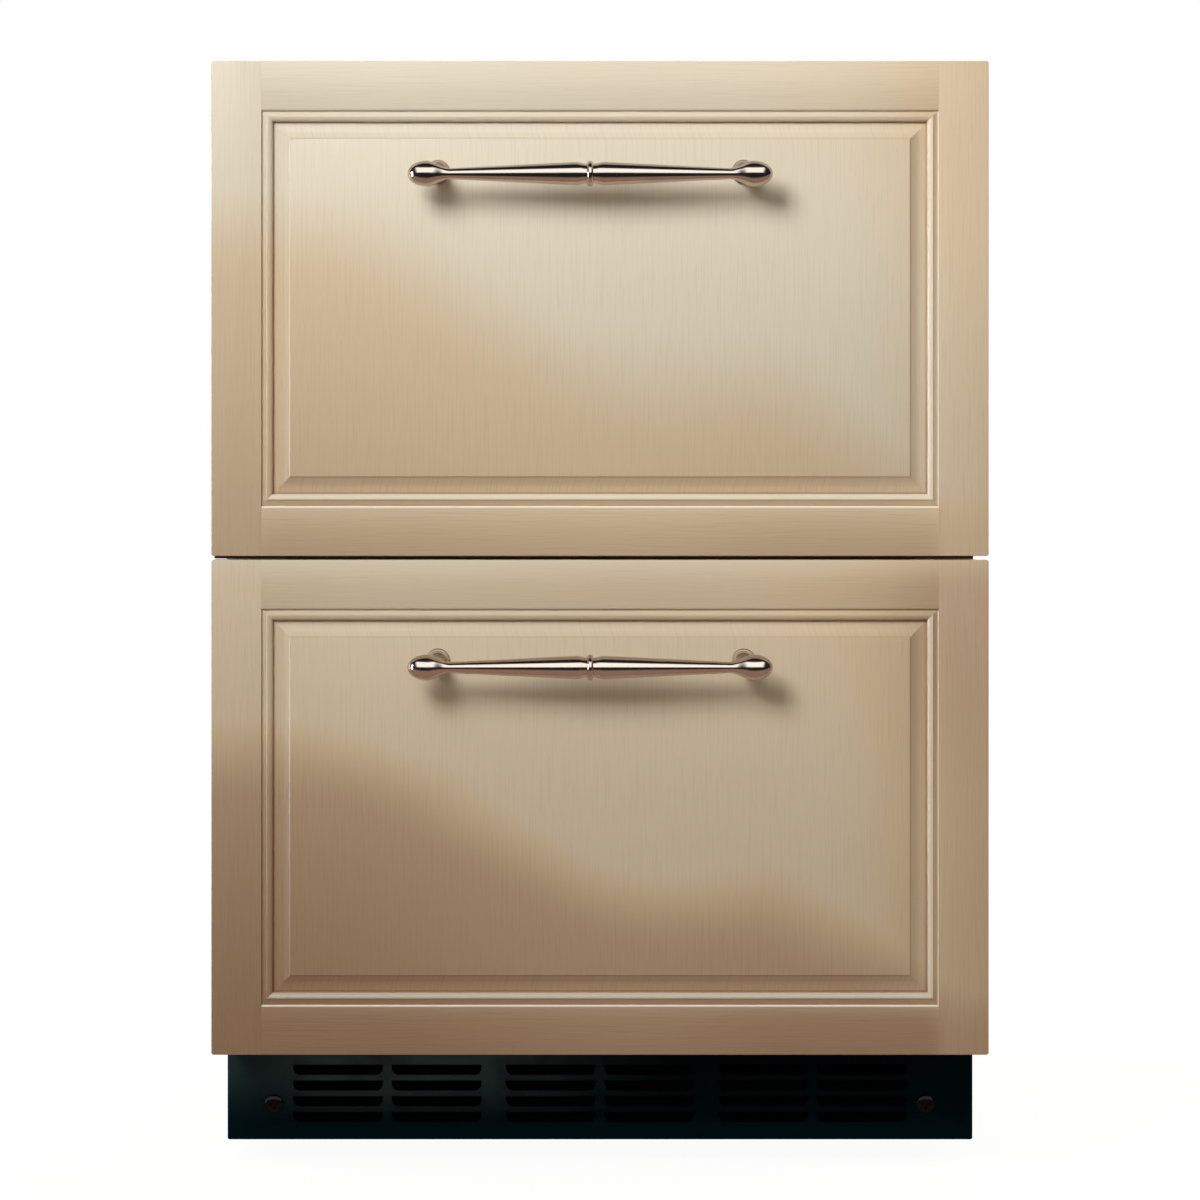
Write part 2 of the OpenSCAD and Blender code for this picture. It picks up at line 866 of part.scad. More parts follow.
// Fan that draws air through the condenser
module condenser_fan() {
    at_condenser_fan() fan_wheel(cond_fan_r, cond_hub_l);
}

// Cover over the cooling coil, with return slots below and a barred fan hole above
module evaporator_cover() {
    half = half_in - evap_cover_side;
    z0 = step_z + evap_cover_rise;
    z1 = cavity_z1;
    hole_r = evap_fan_r + fan_hole_play;
    slot_l = 120;
    slot_h = 6;
    slot_rows = 6;
    slot_low = 30;
    slot_gap = 80;
    bar_w = 2;
    bar_pitch = 14;
    color(white) {
        difference() {
            middle_block(half, evap_y - evap_cover_t, liner_y, z0, z1);
            middle_block(half - evap_cover_t, evap_y, liner_y + cut,
                z0 + evap_cover_t, z1 - evap_cover_t);
            rod_y(0, evap_fan_z, hole_r, evap_y - evap_cover_t - cut, evap_y + cut);
            for (row = [0 : slot_rows - 1]) {
                for (x = [-slot_gap / 2 - slot_l, slot_gap / 2]) {
                    translate([x, evap_y - evap_cover_t - cut, z0 + slot_low + row * 2 * slot_h])
                        cube([slot_l, evap_cover_t + 2 * cut, slot_h]);
                }
            }
        }
        for (i = [-3 : 3]) {
            x = i * bar_pitch;
            half_l = sqrt(pow(hole_r + 2, 2) - x * x);
            block([x - bar_w / 2, evap_y - evap_cover_t, evap_fan_z - half_l],
                [x + bar_w / 2, evap_y - evap_cover_t / 2, evap_fan_z + half_l]);
        }
        at_evaporator_fan() fan_motor(evap_fan_r, evap_hub_l);
    }
}

// Fan that moves cold air through the compartments
module evaporator_fan() {
    at_evaporator_fan() fan_wheel(evap_fan_r, evap_hub_l);
}

// Half profile of the compressor's domed shell, for turning about Z
module shell_outline() {
    low_r = 18;
    top_r = comp_r * 0.6;
    square([comp_r - top_r, comp_h]);
    translate([0, low_r]) square([comp_r, comp_h - top_r - low_r]);
    square([comp_r - low_r, low_r]);
    translate([comp_r - low_r, low_r]) intersection() {
        circle(r = low_r);
        translate([0, -low_r]) square(low_r);
    }
    translate([comp_r - top_r, comp_h - top_r]) intersection() {
        circle(r = top_r);
        square(top_r);
    }
}

// Compressor: shell on a foot plate, terminal box, pipe stubs and four grommets
module compressor() {
    z0 = base_z + base_t;
    plate_t = 3;
    shell_z = z0 + grommet_h + plate_t - 1;
    half_x = comp_r + 12;
    half_y = 55;
    box_half = 22;
    box_low = 45;
    box_h = 55;
    stub_y = 25;
    stub_r = 4;
    stub_z = 70;
    color(black) {
        translate([comp_x, comp_y, shell_z]) rotate_extrude() shell_outline();
        block([comp_x - half_x, comp_y - half_y, z0 + grommet_h],
            [comp_x + half_x, comp_y + half_y, z0 + grommet_h + plate_t]);
        block([comp_x - comp_r - 14, comp_y - box_half, shell_z + box_low],
            [comp_x - comp_r + 8, comp_y + box_half, shell_z + box_low + box_h]);
        for (y = [comp_y - stub_y, comp_y + stub_y]) {
            translate([comp_x, y, shell_z + stub_z]) rotate([0, 90, 0])
                cylinder(h = comp_r + 18, r = stub_r);
        }
    }
    color(grey) for (x = [-1, 1]) {
        for (y = [-1, 1]) {
            rod_z(comp_x + x * (half_x - 12), comp_y + y * (half_y - 10), 10,
                z0, z0 + grommet_h - snug);
        }
    }
}

// ---- Controls and lights ----

// Control box under the ceiling, with a pocket for each button
module control_housing() {
    pocket = button_l + button_travel;
    color(white) difference() {
        middle_block(control_w / 2, control_y0, control_y1, cavity_z1 - control_h, cavity_z1);
        for (i = [-1 : 1]) {
            rod_y(i * button_pitch, button_z, button_r + slip, control_y0 - cut,
                control_y0 + pocket);
        }
    }
}

// One push button, counted from the middle of the row
module push_button(i) {
    color(grey) rod_y(i * button_pitch, button_z, button_r, control_y0 - button_out,
        control_y0 - button_out + button_l);
}

module power_button() {
    push_button(-1);
}

module warmer_button() {
    push_button(0);
}

module colder_button() {
    push_button(1);
}

// Light lenses under the ceiling and under the bar between the openings
module light_lenses() {
    color(clear) {
        middle_block(lens_w / 2, lens_y[0], lens_y[0] + lens_d, cavity_z1 - lens_h, cavity_z1);
        middle_block(lens_w / 2, lens_y[1], lens_y[1] + lens_d, mullion_z0 - lens_h, mullion_z0);
    }
}

// ---- Drawer slides ----

// A channel section: web at x0, flanges reaching to x1 on one side
module channel(x_web, x_tip, half_h, y0, l, z) {
    lo = min(x_web, x_tip);
    hi = max(x_web, x_tip);
    web_lo = x_web < x_tip ? x_web : x_web - slide_t;
    block([web_lo, y0, z - half_h], [web_lo + slide_t, y0 + l, z + half_h]);
    block([lo, y0, z + half_h - slide_t], [hi, y0 + l, z + half_h]);
    block([lo, y0, z - half_h], [hi, y0 + l, z - half_h + slide_t]);
}

// Member on the liner's wall, which is at x = 0; the bin is towards +X
module outer_member(l, z) {
    channel(0, outer_tip, slide_h / 2, slide_y, l, z);
}

// Middle member, with the strips of its ball cages outside and inside it
module middle_member(l, z) {
    channel(middle_web, middle_tip, middle_out, slide_y, l, z);
    for (side = [-1, 1]) {
        translate([0, 0, z]) scale([1, 1, side]) {
            block([middle_web + slide_t, slide_y, middle_out - cut],
                [middle_tip - strip_back, slide_y + l, outer_in - slip]);
            block([middle_web + 2 * slide_t, slide_y, inner_out + slip],
                [middle_tip, slide_y + l, middle_in + cut / 2]);
        }
    }
}

// Member on the drawer's side rail
module inner_member(l, z) {
    channel(slide_w, middle_web + slide_t + strip_back, inner_out, slide_y, l, z);
}

// Puts a left-hand slide member at the left wall and its mirror at the right
module at_slides() {
    both_sides() translate([-half_in, 0, 0]) children();
}

module slide_outers() {
    color(steel) at_slides() {
        outer_member(upper_slide_len, upper_rail_z + slide_rise);
        outer_member(lower_slide_len, lower_rail_z + slide_rise);
    }
}

module upper_slide_middles() {
    color(steel) at_slides() middle_member(upper_slide_len, upper_rail_z + slide_rise);
}

module lower_slide_middles() {
    color(steel) at_slides() middle_member(lower_slide_len, lower_rail_z + slide_rise);
}

module upper_slide_inners() {
    color(steel) at_slides() inner_member(upper_slide_len, upper_rail_z + slide_rise);
}

module lower_slide_inners() {
    color(steel) at_slides() inner_member(lower_slide_len, lower_rail_z + slide_rise);
}

// ---- Drawer fronts ----

// Closed outline of a front's side view, in (y, z), with round front edges
module edge_profile(l) {
    r = front_edge_r;
    translate([y_face + r, 0]) square([front_t - r, l]);
    translate([y_face, r]) square([front_t, l - 2 * r]);
    for (z = [r, l - r]) {
        translate([y_face + r, z]) circle(r = r);
    }
}

// Solid blank of a front, all four outer edges rounded; z is its bottom edge
module front_blank(z) {
    intersection() {
        translate([-front_w / 2, 0, z]) rotate([90, 0, 90])
            linear_extrude(front_w) edge_profile(front_h);
        translate([-front_w / 2, 0, z])
            linear_extrude(front_h) mirror([1, -1]) edge_profile(front_w);
    }
}

// Upright frame members, full height
module front_stiles(z) {
    half = front_w / 2;
    color(paint) intersection() {
        front_blank(z);
        both_sides() block([half - frame_w, y_face - cut, z - cut],
            [half + cut, y_door + cut, z + front_h + cut]);
    }
}

// Cross members between the stiles
module front_rails(z) {
    half = front_w / 2 - frame_w;
    color(paint) intersection() {
        front_blank(z);
        union() {
            middle_block(half, y_face - cut, y_door + cut, z - cut, z + frame_w);
            middle_block(half, y_face - cut, y_door + cut, z + front_h - frame_w,
                z + front_h + cut);
        }
    }
}

// Section of the moulding: u runs inward from the frame, v runs back from its face
module mould_section() {
    bead_r = (mould_w - quirk_w) / 2;
    bead_v = field_set + bead_r;
    translate([0, quirk_d]) square([mould_w, mould_t - quirk_d]);
    translate([quirk_w, bead_v]) square([2 * bead_r, mould_t - bead_v]);
    translate([quirk_w + bead_r, bead_v]) circle(r = bead_r);
}

// One mitred moulding strip of length w, its outer corner at 0 and its width along +Z
module mould_strip(w) {
    intersection() {
        rotate([90, 0, 90]) linear_extrude(w) mirror([1, -1]) mould_section();
        rotate([90, 0, 0]) translate([0, 0, -mould_t - cut])
            linear_extrude(mould_t + 2 * cut)
                polygon([[snug, 0], [w - snug, 0], [w - mould_w - snug, mould_w],
                    [mould_w + snug, mould_w]]);
    }
}

// Four mitred strips around the raised field
module front_moulding(z) {
    w = front_w - 2 * frame_w;
    h = front_h - 2 * frame_w;
    color(paint) translate([-w / 2, y_face, z + frame_w]) {
        mould_strip(w);
        translate([w, 0, h]) rotate([0, 180, 0]) mould_strip(w);
        translate([w, 0, 0]) rotate([0, -90, 0]) mould_strip(h);
        translate([0, 0, h]) rotate([0, 90, 0]) mould_strip(h);
    }
}

// Section of the raised field across a span l: groove, slope, shoulder, flat
module field_section(l) {
    rise = groove_d - field_set - shoulder_h;
    a = mould_w + bevel_w;
    polygon([[mould_w, groove_d], [a, groove_d - rise], [a, field_set],
        [l - a, field_set], [l - a, groove_d - rise], [l - mould_w, groove_d],
        [l - mould_w, front_t], [mould_w, front_t]]);
}

// Raised field, its tongue behind the moulding, with holes for the handle screws
module front_field(z, drop) {
    w = front_w - 2 * frame_w;
    h = front_h - 2 * frame_w;
    hx = handle_shift;
    hz = z + front_h - drop + post_rise;
    bore_r = handle_screw_r + screw_play;
    head_bore_r = 2 * handle_screw_r + slip;
    color(paint) difference() {
        translate([-w / 2, y_face, z + frame_w]) union() {
            block([0, mould_t, 0], [w, front_t, h]);
            intersection() {
                linear_extrude(h) field_section(w);
                rotate([90, 0, 90]) linear_extrude(w) mirror([1, -1]) field_section(h);
            }
        }
        for (x = [hx - post_span / 2, hx + post_span / 2]) {
            rod_y(x, hz, bore_r, y_face - cut, y_door + cut);
            rod_y(x, hz, head_bore_r, y_door - head_bed, y_door + cut);
        }
    }
}

// ---- Handles ----

// Radius of the bar at x from a tip, up to the middle
function egg_nose(x) = egg_r * sqrt(1 - pow((egg_fat - x) / egg_fat, 2));
function egg_tail(x) = neck_r + (egg_r - neck_r)
    * (1 + cos(180 * (x - egg_fat) / (egg_len - egg_fat))) / 2;
nose_steps = 10;
tail_steps = 8;
ring_steps = 6;
half_bar = handle_len / 2;
taper_end = half_bar - ring_w / 2 - waist_len;
bar_points = concat(
    [for (i = [0 : nose_steps]) let (x = egg_fat * (1 - cos(90 * i / nose_steps)))
        [x, egg_nose(x)]],
    [for (i = [1 : tail_steps]) let (x = egg_fat + (egg_len - egg_fat) * i / tail_steps)
        [x, egg_tail(x)]],
    [[taper_end, taper_r], [half_bar - ring_w / 2, waist_r]],
    [for (i = [0 : ring_steps]) let (a = 90 * i / ring_steps)
        [half_bar - ring_w / 2 * cos(a), ring_r - ring_w / 2 * (1 - sin(a))]]);

// Outline of the whole bar: x along the bar, r away from its axis
module bar_outline() {
    mirrored = [for (i = [len(bar_points) - 2 : -1 : 0])
        [handle_len - bar_points[i][0], bar_points[i][1]]];
    polygon(concat(bar_points, mirrored));
}

// Cone of one post from the bar to the front, grown by some play
module post_cone(play) {
    run = handle_out + field_set;
    l = sqrt(run * run + post_rise * post_rise);
    tip = 3;
    rotate([-90 + atan(post_rise / run), 0, 0]) translate([0, 0, tip])
        cylinder(h = l - tip, r1 = post_tip_r + play, r2 = post_foot_r + play);
}

// Turned bar with a socket for each post
module handle_bar(z, drop) {
    color(nickel) translate([handle_shift, handle_y, z + front_h - drop]) difference() {
        translate([-half_bar, 0, 0]) rotate([90, 0, 90])
            rotate_extrude() mirror([1, -1]) bar_outline();
        for (x = [-post_span / 2, post_span / 2]) {
            translate([x, 0, 0]) post_cone(snug);
        }
    }
}

// Two posts with foot flanges, and the screws that hold them from behind
module handle_posts(z, drop) {
    bar_z = z + front_h - drop;
    foot_z = bar_z + post_rise;
    reach = 10;
    head_l = 3;
    color(nickel) for (x = [handle_shift - post_span / 2, handle_shift + post_span / 2]) {
        difference() {
            union() {
                intersection() {
                    translate([x, handle_y, bar_z]) post_cone(0);
                    block([x - 50, y_field - 50, bar_z - 50], [x + 50, y_field, bar_z + 50]);
                }
                rod_y(x, foot_z, flange_r, y_field - flange_t, y_field);
                rod_y(x, foot_z, flange_r - 1, y_field - flange_t - 1, y_field - cut);
            }
            rod_y(x, foot_z, handle_screw_r + snug, y_field - reach - cut, y_field + cut);
        }
        rod_y(x, foot_z, handle_screw_r, y_field - reach, y_door - head_bed + cut);
        rod_y(x, foot_z, 2 * handle_screw_r, y_door - head_bed, y_door - head_bed + head_l);
    }
}

// ---- Insulated doors behind the fronts ----

// Sheet pan, open at the back
module door_pan(z) {
    z0 = z + pan_low_inset;
    z1 = z + front_h - pan_top_inset;
    color(steel) difference() {
        middle_block(half_cab, y_door, y_seal, z0, z1);
        middle_block(half_cab - pan_t, y_door + pan_t, y_seal + cut, z0 + pan_t, z1 - pan_t);
    }
}

// Inner door with its foam, and the raised part that reaches into the cabinet
module door_core(z, plug_z0, plug_z1) {
    z0 = z + pan_low_inset + pan_t;
    z1 = z + front_h - pan_top_inset - pan_t;
    plug_half = rail_in - plug_gap;
    color(white) {
        middle_block(half_cab - pan_t, y_door + pan_t, y_seal, z0, z1);
        middle_block(plug_half, y_seal - cut, y_plug, plug_z0, plug_z1);
    }
}

// Seal around the inner door
module door_gasket(z) {
    half = half_cab - gasket_inset;
    z0 = z + pan_low_inset + gasket_inset;
    z1 = z + front_h - pan_top_inset - gasket_inset;
    color(white) difference() {
        middle_block(half, y_seal, y_cab - slip, z0, z1);
        middle_block(half - gasket_w, y_seal - cut, y_cab + cut, z0 + gasket_w, z1 - gasket_w);
    }
}

// ---- Drawer bodies ----

// Steel side rails with a ledge for the bin and a flange on the inner door
module side_rails(z, l) {
    color(steel) both_sides() {
        block([rail_in, y_plug, z], [slide_x, y_plug + l, z + rail_h]);
        block([rail_in - ledge_w, y_plug, z], [slide_x, y_plug + l, z + rail_t]);
        block([rail_in - rail_flange, y_plug, z], [slide_x, y_plug + rail_t, z + rail_h]);
    }
}

// Open bin with round corners and a rim
module bin(z, l) {
    z0 = z + rail_t;
    color(clear) translate([0, bin_y, 0]) difference() {
        union() {
            translate([0, 0, z0]) linear_extrude(bin_h) round_rect(bin_half, l, bin_r);
            translate([0, -bin_rim, z0 + bin_h - bin_wall]) linear_extrude(bin_wall)
                round_rect(bin_half + bin_rim, l + 2 * bin_rim, bin_r + bin_rim);
        }
        translate([0, bin_wall, z0 + bin_wall]) linear_extrude(bin_h)
            round_rect(bin_half - bin_wall, l - 2 * bin_wall, bin_r - bin_wall);
    }
}

module upper_stiles() {
    front_stiles(upper_z);
}

module upper_rails() {
    front_rails(upper_z);
}

module upper_moulding() {
    front_moulding(upper_z);
}

module upper_field() {
    front_field(upper_z, upper_handle_drop);
}

module upper_handle_bar() {
    handle_bar(upper_z, upper_handle_drop);
}

module upper_handle_posts() {
    handle_posts(upper_z, upper_handle_drop);
}

module upper_door_pan() {
    door_pan(upper_z);
}

module upper_door_core() {
    door_core(upper_z, mullion_z1 + plug_gap, cavity_z1 - plug_gap);
}

module upper_gasket() {
    door_gasket(upper_z);
}

module upper_side_rails() {
    side_rails(upper_rail_z, upper_slide_len);
}

module upper_bin() {
    bin(upper_rail_z, upper_slide_len + bin_tail - 2 * bin_rim);
}

module lower_stiles() {
    front_stiles(lower_z);
}

module lower_rails() {
    front_rails(lower_z);
}

module lower_moulding() {
    front_moulding(lower_z);
}

module lower_field() {
    front_field(lower_z, lower_handle_drop);
}

module lower_handle_bar() {
    handle_bar(lower_z, lower_handle_drop);
}

module lower_handle_posts() {
    handle_posts(lower_z, lower_handle_drop);
}

module lower_door_pan() {
    door_pan(lower_z);
}

module lower_door_core() {
    door_core(lower_z, cavity_z0 + plug_gap, mullion_z0 - plug_gap);
}

module lower_gasket() {
    door_gasket(lower_z);
}

module lower_side_rails() {
    side_rails(lower_rail_z, lower_slide_len);
}

module lower_bin() {
    bin(lower_rail_z, lower_slide_len + bin_tail - 2 * bin_rim);
}

case_wrapper();
case_floor();
back_panel();
cabinet_foam();
liner();
mullion();
base_frame();
toe_kick();
cover_screws();
machine_cover();
compressor();
condenser();
condenser_fan_shroud();
condenser_fan();
evaporator();
evaporator_cover();
evaporator_fan();
control_housing();
power_button();
warmer_button();
colder_button();
light_lenses();
slide_outers();
mounting_brackets();
power_inlet();
drain_pan();
leg_pad(-leg_x, leg_y_front);  // leg_pad_front_left
leg_pad(leg_x, leg_y_front);  // leg_pad_front_right
leg_pad(-leg_x, leg_y_rear);  // leg_pad_rear_left
leg_pad(leg_x, leg_y_rear);  // leg_pad_rear_right
leg_stud(-leg_x, leg_y_front);  // leg_stud_front_left
leg_stud(leg_x, leg_y_front);  // leg_stud_front_right
leg_stud(-leg_x, leg_y_rear);  // leg_stud_rear_left
leg_stud(leg_x, leg_y_rear);  // leg_stud_rear_right
upper_stiles();
upper_rails();
upper_moulding();
upper_field();
upper_handle_bar();
upper_handle_posts();
upper_door_pan();
upper_door_core();
upper_gasket();
upper_side_rails();
upper_slide_inners();
upper_bin();
upper_slide_middles();
lower_stiles();
lower_rails();
lower_moulding();
lower_field();
lower_handle_bar();
lower_handle_posts();
lower_door_pan();
lower_door_core();
lower_gasket();
lower_side_rails();
lower_slide_inners();
lower_bin();
lower_slide_middles();
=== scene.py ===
"""Undercounter drawer refrigerator: fronts, handles, toe-kick, inside and stage."""
import json
import math

import bmesh
import bpy
from bpy.props import FloatProperty, FloatVectorProperty, IntProperty, PointerProperty
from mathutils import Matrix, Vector


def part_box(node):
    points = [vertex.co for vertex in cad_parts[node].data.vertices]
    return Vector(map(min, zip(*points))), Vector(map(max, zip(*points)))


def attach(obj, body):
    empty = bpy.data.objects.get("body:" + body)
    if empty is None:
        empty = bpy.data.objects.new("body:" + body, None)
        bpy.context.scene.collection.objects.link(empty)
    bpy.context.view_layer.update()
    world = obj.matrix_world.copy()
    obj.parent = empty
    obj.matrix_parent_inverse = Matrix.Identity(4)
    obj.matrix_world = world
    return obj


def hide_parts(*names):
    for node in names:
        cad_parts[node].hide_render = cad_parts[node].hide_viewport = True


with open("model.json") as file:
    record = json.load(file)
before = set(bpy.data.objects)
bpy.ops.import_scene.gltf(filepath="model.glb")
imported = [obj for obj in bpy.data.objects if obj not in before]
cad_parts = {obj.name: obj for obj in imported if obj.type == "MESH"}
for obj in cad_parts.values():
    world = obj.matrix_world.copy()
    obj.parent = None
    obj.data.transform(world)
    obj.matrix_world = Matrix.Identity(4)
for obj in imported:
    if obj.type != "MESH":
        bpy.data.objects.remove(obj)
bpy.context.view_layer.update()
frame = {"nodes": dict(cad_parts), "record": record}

bl_info = {
    "name": "Undercounter Drawer Refrigerator",
    "version": (1, 0, 0),
    "blender": (4, 5, 0),
    "location": "3D View > Sidebar > Refrigerator",
    "description": "Builds the fronts, handles, toe-kick and inside of a drawer refrigerator",
    "category": "Object",
}

SLOT_OF = {part["node"]: part["material_slot"] for part in frame["record"]["subparts"]}
DRAWERS = ("upper", "lower")
FRONT_LO, FRONT_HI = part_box("upper_stiles")


# ---- Settings ----

def length(name, description, default):
    """A length in metres."""
    return FloatProperty(name=name, description=description, default=default,
                         min=0.0, unit="LENGTH", subtype="DISTANCE")


def colour(name, description, default):
    """A linear colour."""
    return FloatVectorProperty(name=name, description=description, default=default,
                               size=3, min=0.0, max=1.0, subtype="COLOR")


class FrontSettings(bpy.types.PropertyGroup):
    """Sizes and colours of the framed drawer fronts."""
    stile_width: length("Stile width", "Width of the upright frame members", 0.0388)
    rail_width: length("Rail width", "Width of the level frame members", 0.0388)
    edge_radius: length("Edge radius", "Rounding of a front's outer edges", 0.0005)
    corner: length("Corner", "Rounding of a front's corners, seen from the front", 0.0018)
    arris: length("Arris", "Rounding of the frame's inner edges", 0.0018)
    lift: length("Lift", "How far the moulding sits above the frame's middle", 0.0006)
    fillet_width: length("Fillet width", "Width of the slope beside the frame", 0.0035)
    fillet_depth: length("Fillet depth", "Depth of the step beside the frame", 0.0022)
    bead_width: length("Bead width", "Width of the rounded moulding", 0.0054)
    groove_width: length("Groove width", "Width of the groove inside the bead", 0.0009)
    groove_depth: length("Groove depth", "Depth of the groove inside the bead", 0.0054)
    slope_width: length("Slope width", "Width of the hollow border of the field", 0.0128)
    field_set: length("Field set", "How far the field lies behind the frame's face", 0.0005)
    paint: colour("Paint", "Cream paint", (0.70, 0.645, 0.52))
    # Rubbed and toned paint are painted shade, laid over the lower part of each front.
    painted_shade: colour("Rubbed paint", "Paint where some glaze was left", (0.645, 0.515, 0.350))
    deep_painted_shade: colour("Toned paint", "Paint where most glaze was left", (0.361, 0.230, 0.144))
    glaze: colour("Glaze", "Brown glaze in the grooves", (0.36, 0.19, 0.075))
    # Bare edge is the lighter paint of a painted highlight on the lower and right edges of the
    # mouldings.
    painted_highlight: colour("Bare edge", "Edges from which all glaze was rubbed", (0.93, 0.90, 0.80))
    # The strip in the gap is painted shade: a dark sheet set there to darken the gap.
    strip_height: length("Strip height", "Height of the dark strip in the gap", 0.0022)
    strip_set: length("Strip set", "How far the strip lies behind the frame's face", 0.009)
    strip_left: length("Strip left", "From the front's left end to the strip", 0.0015)
    strip_right: length("Strip right", "From the strip to the front's right end", 0.0115)


class HandleSettings(bpy.types.PropertyGroup):
    """Sizes and colours of the turned bar handles."""
    bar_axis: FloatProperty(name="Bar axis", description="Where the bars' axis lies along Y",
                            default=-0.310, unit="LENGTH")
    egg_length: length("Egg length", "From a tip to the neck behind the egg", 0.033)
    egg_radius: length("Egg radius", "Radius of the eggs and of the middle ring", 0.0100)
    egg_fat: length("Egg's fattest place", "From a tip to where the egg is fattest", 0.0148)
    neck_radius: length("Neck radius", "Radius of the bar at the neck", 0.0042)
    taper_radius: length("Bar radius", "Radius of the bar where it is fattest", 0.0090)
    waist_radius: length("Waist radius", "Radius of the bar at the ring", 0.0076)
    waist_length: length("Waist length", "From the fattest place to the ring", 0.0082)
    trim_left: length("Left trim", "How much the bar ends before the left end", 0.0011)
    trim_right: length("Right trim", "How much the bar ends before the right end", 0.0018)
    ring_width: length("Ring width", "Width of the middle ring", 0.005)
    foot_radius: length("Foot radius", "Radius of the posts' foot flanges", 0.0093)
    nickel: colour("Nickel", "Satin nickel", (0.60, 0.515, 0.44))
    # Worn nickel is both random brown tarnish and, near the panel, a painted reflection of the
    # paint.
    patchy_tone_and_painted_reflection: colour("Worn nickel", "Nickel that has turned brown", (0.42, 0.32, 0.24))


class KickSettings(bpy.types.PropertyGroup):
    """Sizes and colours of the louvred toe-kick."""
    rows: IntProperty(name="Rows", description="Rows of louvres", default=4, min=1, max=4)
    row_pitch: length("Row pitch", "Distance between rows", 0.0126)
    louvre_width: length("Louvre width", "Width of one louvre", 0.0715)
    louvre_height: length("Louvre height", "Height of one louvre", 0.0083)
    pair_step: length("Pair step", "Distance between the louvres of a pair", 0.0787)
    pair_pitch: length("Pair pitch", "Distance between pairs", 0.1696)
    low_row: length("Lowest row", "Height of the lowest row above the lower edge", 0.0178)
    corner: length("Corner", "Rounding of the lower corners", 0.0015)
    screw_side: length("Screw side", "Screws left and right of the middle", 0.2597)
    screw_rise: length("Screw height", "Screws above the lower edge", 0.0286)
    black: colour("Black", "Black of the toe-kick", (0.0004, 0.0072, 0.0105))
    # The sheen is a painted sheen: lighter colour painted over the upper left of the toe-kick.
    painted_sheen: colour("Sheen", "Lighter cast of the toe-kick", (0.064, 0.112, 0.125))


class InsideSettings(bpy.types.PropertyGroup):
    """Sizes and colours of what the drawers hide."""
    ball_radius: length("Ball radius", "Radius of the slides' balls", 0.0016)
    ball_pitch: length("Ball pitch", "Distance between the balls", 0.009)
    thread_pitch: length("Thread pitch", "Rise of a leg's thread in one turn", 0.0015)
    bin_wall: length("Bin wall", "Wall of the bins", 0.0025)
    bin_rim: length("Bin rim", "Width of the rim around the bins", 0.006)
    bin_round: length("Bin rounding", "Rounding of the bins' corners", 0.018)
    liner: colour("Liner", "White of the liner", (0.80, 0.82, 0.82))
    sheet: colour("Sheet", "Grey of the zinc-coated case", (0.50, 0.51, 0.52))


class StageSettings(bpy.types.PropertyGroup):
    """Camera, lamps and floor."""
    distance: length("Camera distance", "From the camera to the fronts", 2.65)
    height: length("Camera height", "Height of the level camera", 0.545)
    lens: FloatProperty(name="Lens", description="Focal length in millimetres",
                        default=102.5, min=20.0, max=300.0)
    shift: FloatProperty(name="Shift", description="Vertical shift of the lens",
                         default=-0.1001, min=-0.3, max=0.3)
    key: FloatProperty(name="Key lamp", description="Power of the key lamp in watts",
                       default=13.5, min=0.0)
    spread: FloatProperty(name="Key spread", description="Angle that the key lamp lights",
                          default=math.radians(90), subtype="ANGLE")
    fill: FloatProperty(name="Surroundings", description="Plain light from all around",
                        default=0.29, min=0.0)
    glint: FloatProperty(name="Glint", description="Power of the side lamp seen in gloss only",
                         default=28.0, min=0.0)
    softbox: FloatProperty(name="Softbox", description="Brightness of the box in reflections",
                           default=1.8, min=0.0)
    floor: colour("Floor", "Pale floor", (0.90, 0.90, 0.90))
    bounce: colour("Bounce", "Floor as it lights the object", (0.42, 0.37, 0.32))
    room: colour("Room", "Dark room as gloss shows it", (0.018, 0.024, 0.032))
    warm: colour("Warm floor", "Floor near the object as gloss shows it", (0.38, 0.25, 0.20))


# ---- Meshes ----

def new_bmesh():
    """An empty bmesh with a map for the grain and a layer for the glaze."""
    bm = bmesh.new()
    bm.loops.layers.uv.new("grain")
    bm.verts.layers.float.new("glaze")
    return bm


def skin(bm, rings, closed=True, caps=(False, False), glaze=None):
    """Faces between rings of points, with a face on the first and last ring if asked."""
    layer = bm.verts.layers.float["glaze"]
    made = []
    for i, ring in enumerate(rings):
        verts = [bm.verts.new(p) for p in ring]
        if glaze:
            for v in verts:
                v[layer] = glaze[i]
        made.append(verts)
    count = len(made[0])
    for a, b in zip(made, made[1:]):
        for i in range(count if closed else count - 1):
            j = (i + 1) % count
            bm.faces.new((a[i], a[j], b[j], b[i]))
    if caps[0]:
        bm.faces.new(made[0][::-1])
    if caps[1]:
        bm.faces.new(made[-1])
    return made


def turned(bm, profile, place, segments=64, caps=(False, False)):
    """A turned shape from (distance, radius) pairs; place puts a point on its axis."""
    turns = [2 * math.pi * i / segments for i in range(segments)]
    skin(bm, [[place(d, r * math.cos(a), r * math.sin(a)) for a in turns]
              for d, r in profile], caps=caps)


def arc(cx, cy, rx, ry, start, end, steps):
    """Points on an elliptical arc, angles in degrees."""
    out = []
    for i in range(steps + 1):
        a = math.radians(start + (end - start) * i / steps)
        out.append((cx + rx * math.cos(a), cy + ry * math.sin(a)))
    return out


def block(bm, lo, hi):
    """A box between two corners."""
    ring = [(lo[0], lo[1]), (hi[0], lo[1]), (hi[0], hi[1]), (lo[0], hi[1])]
    skin(bm, [[Vector((x, y, z)) for x, y in ring] for z in (lo[2], hi[2])],
         caps=(True, True))


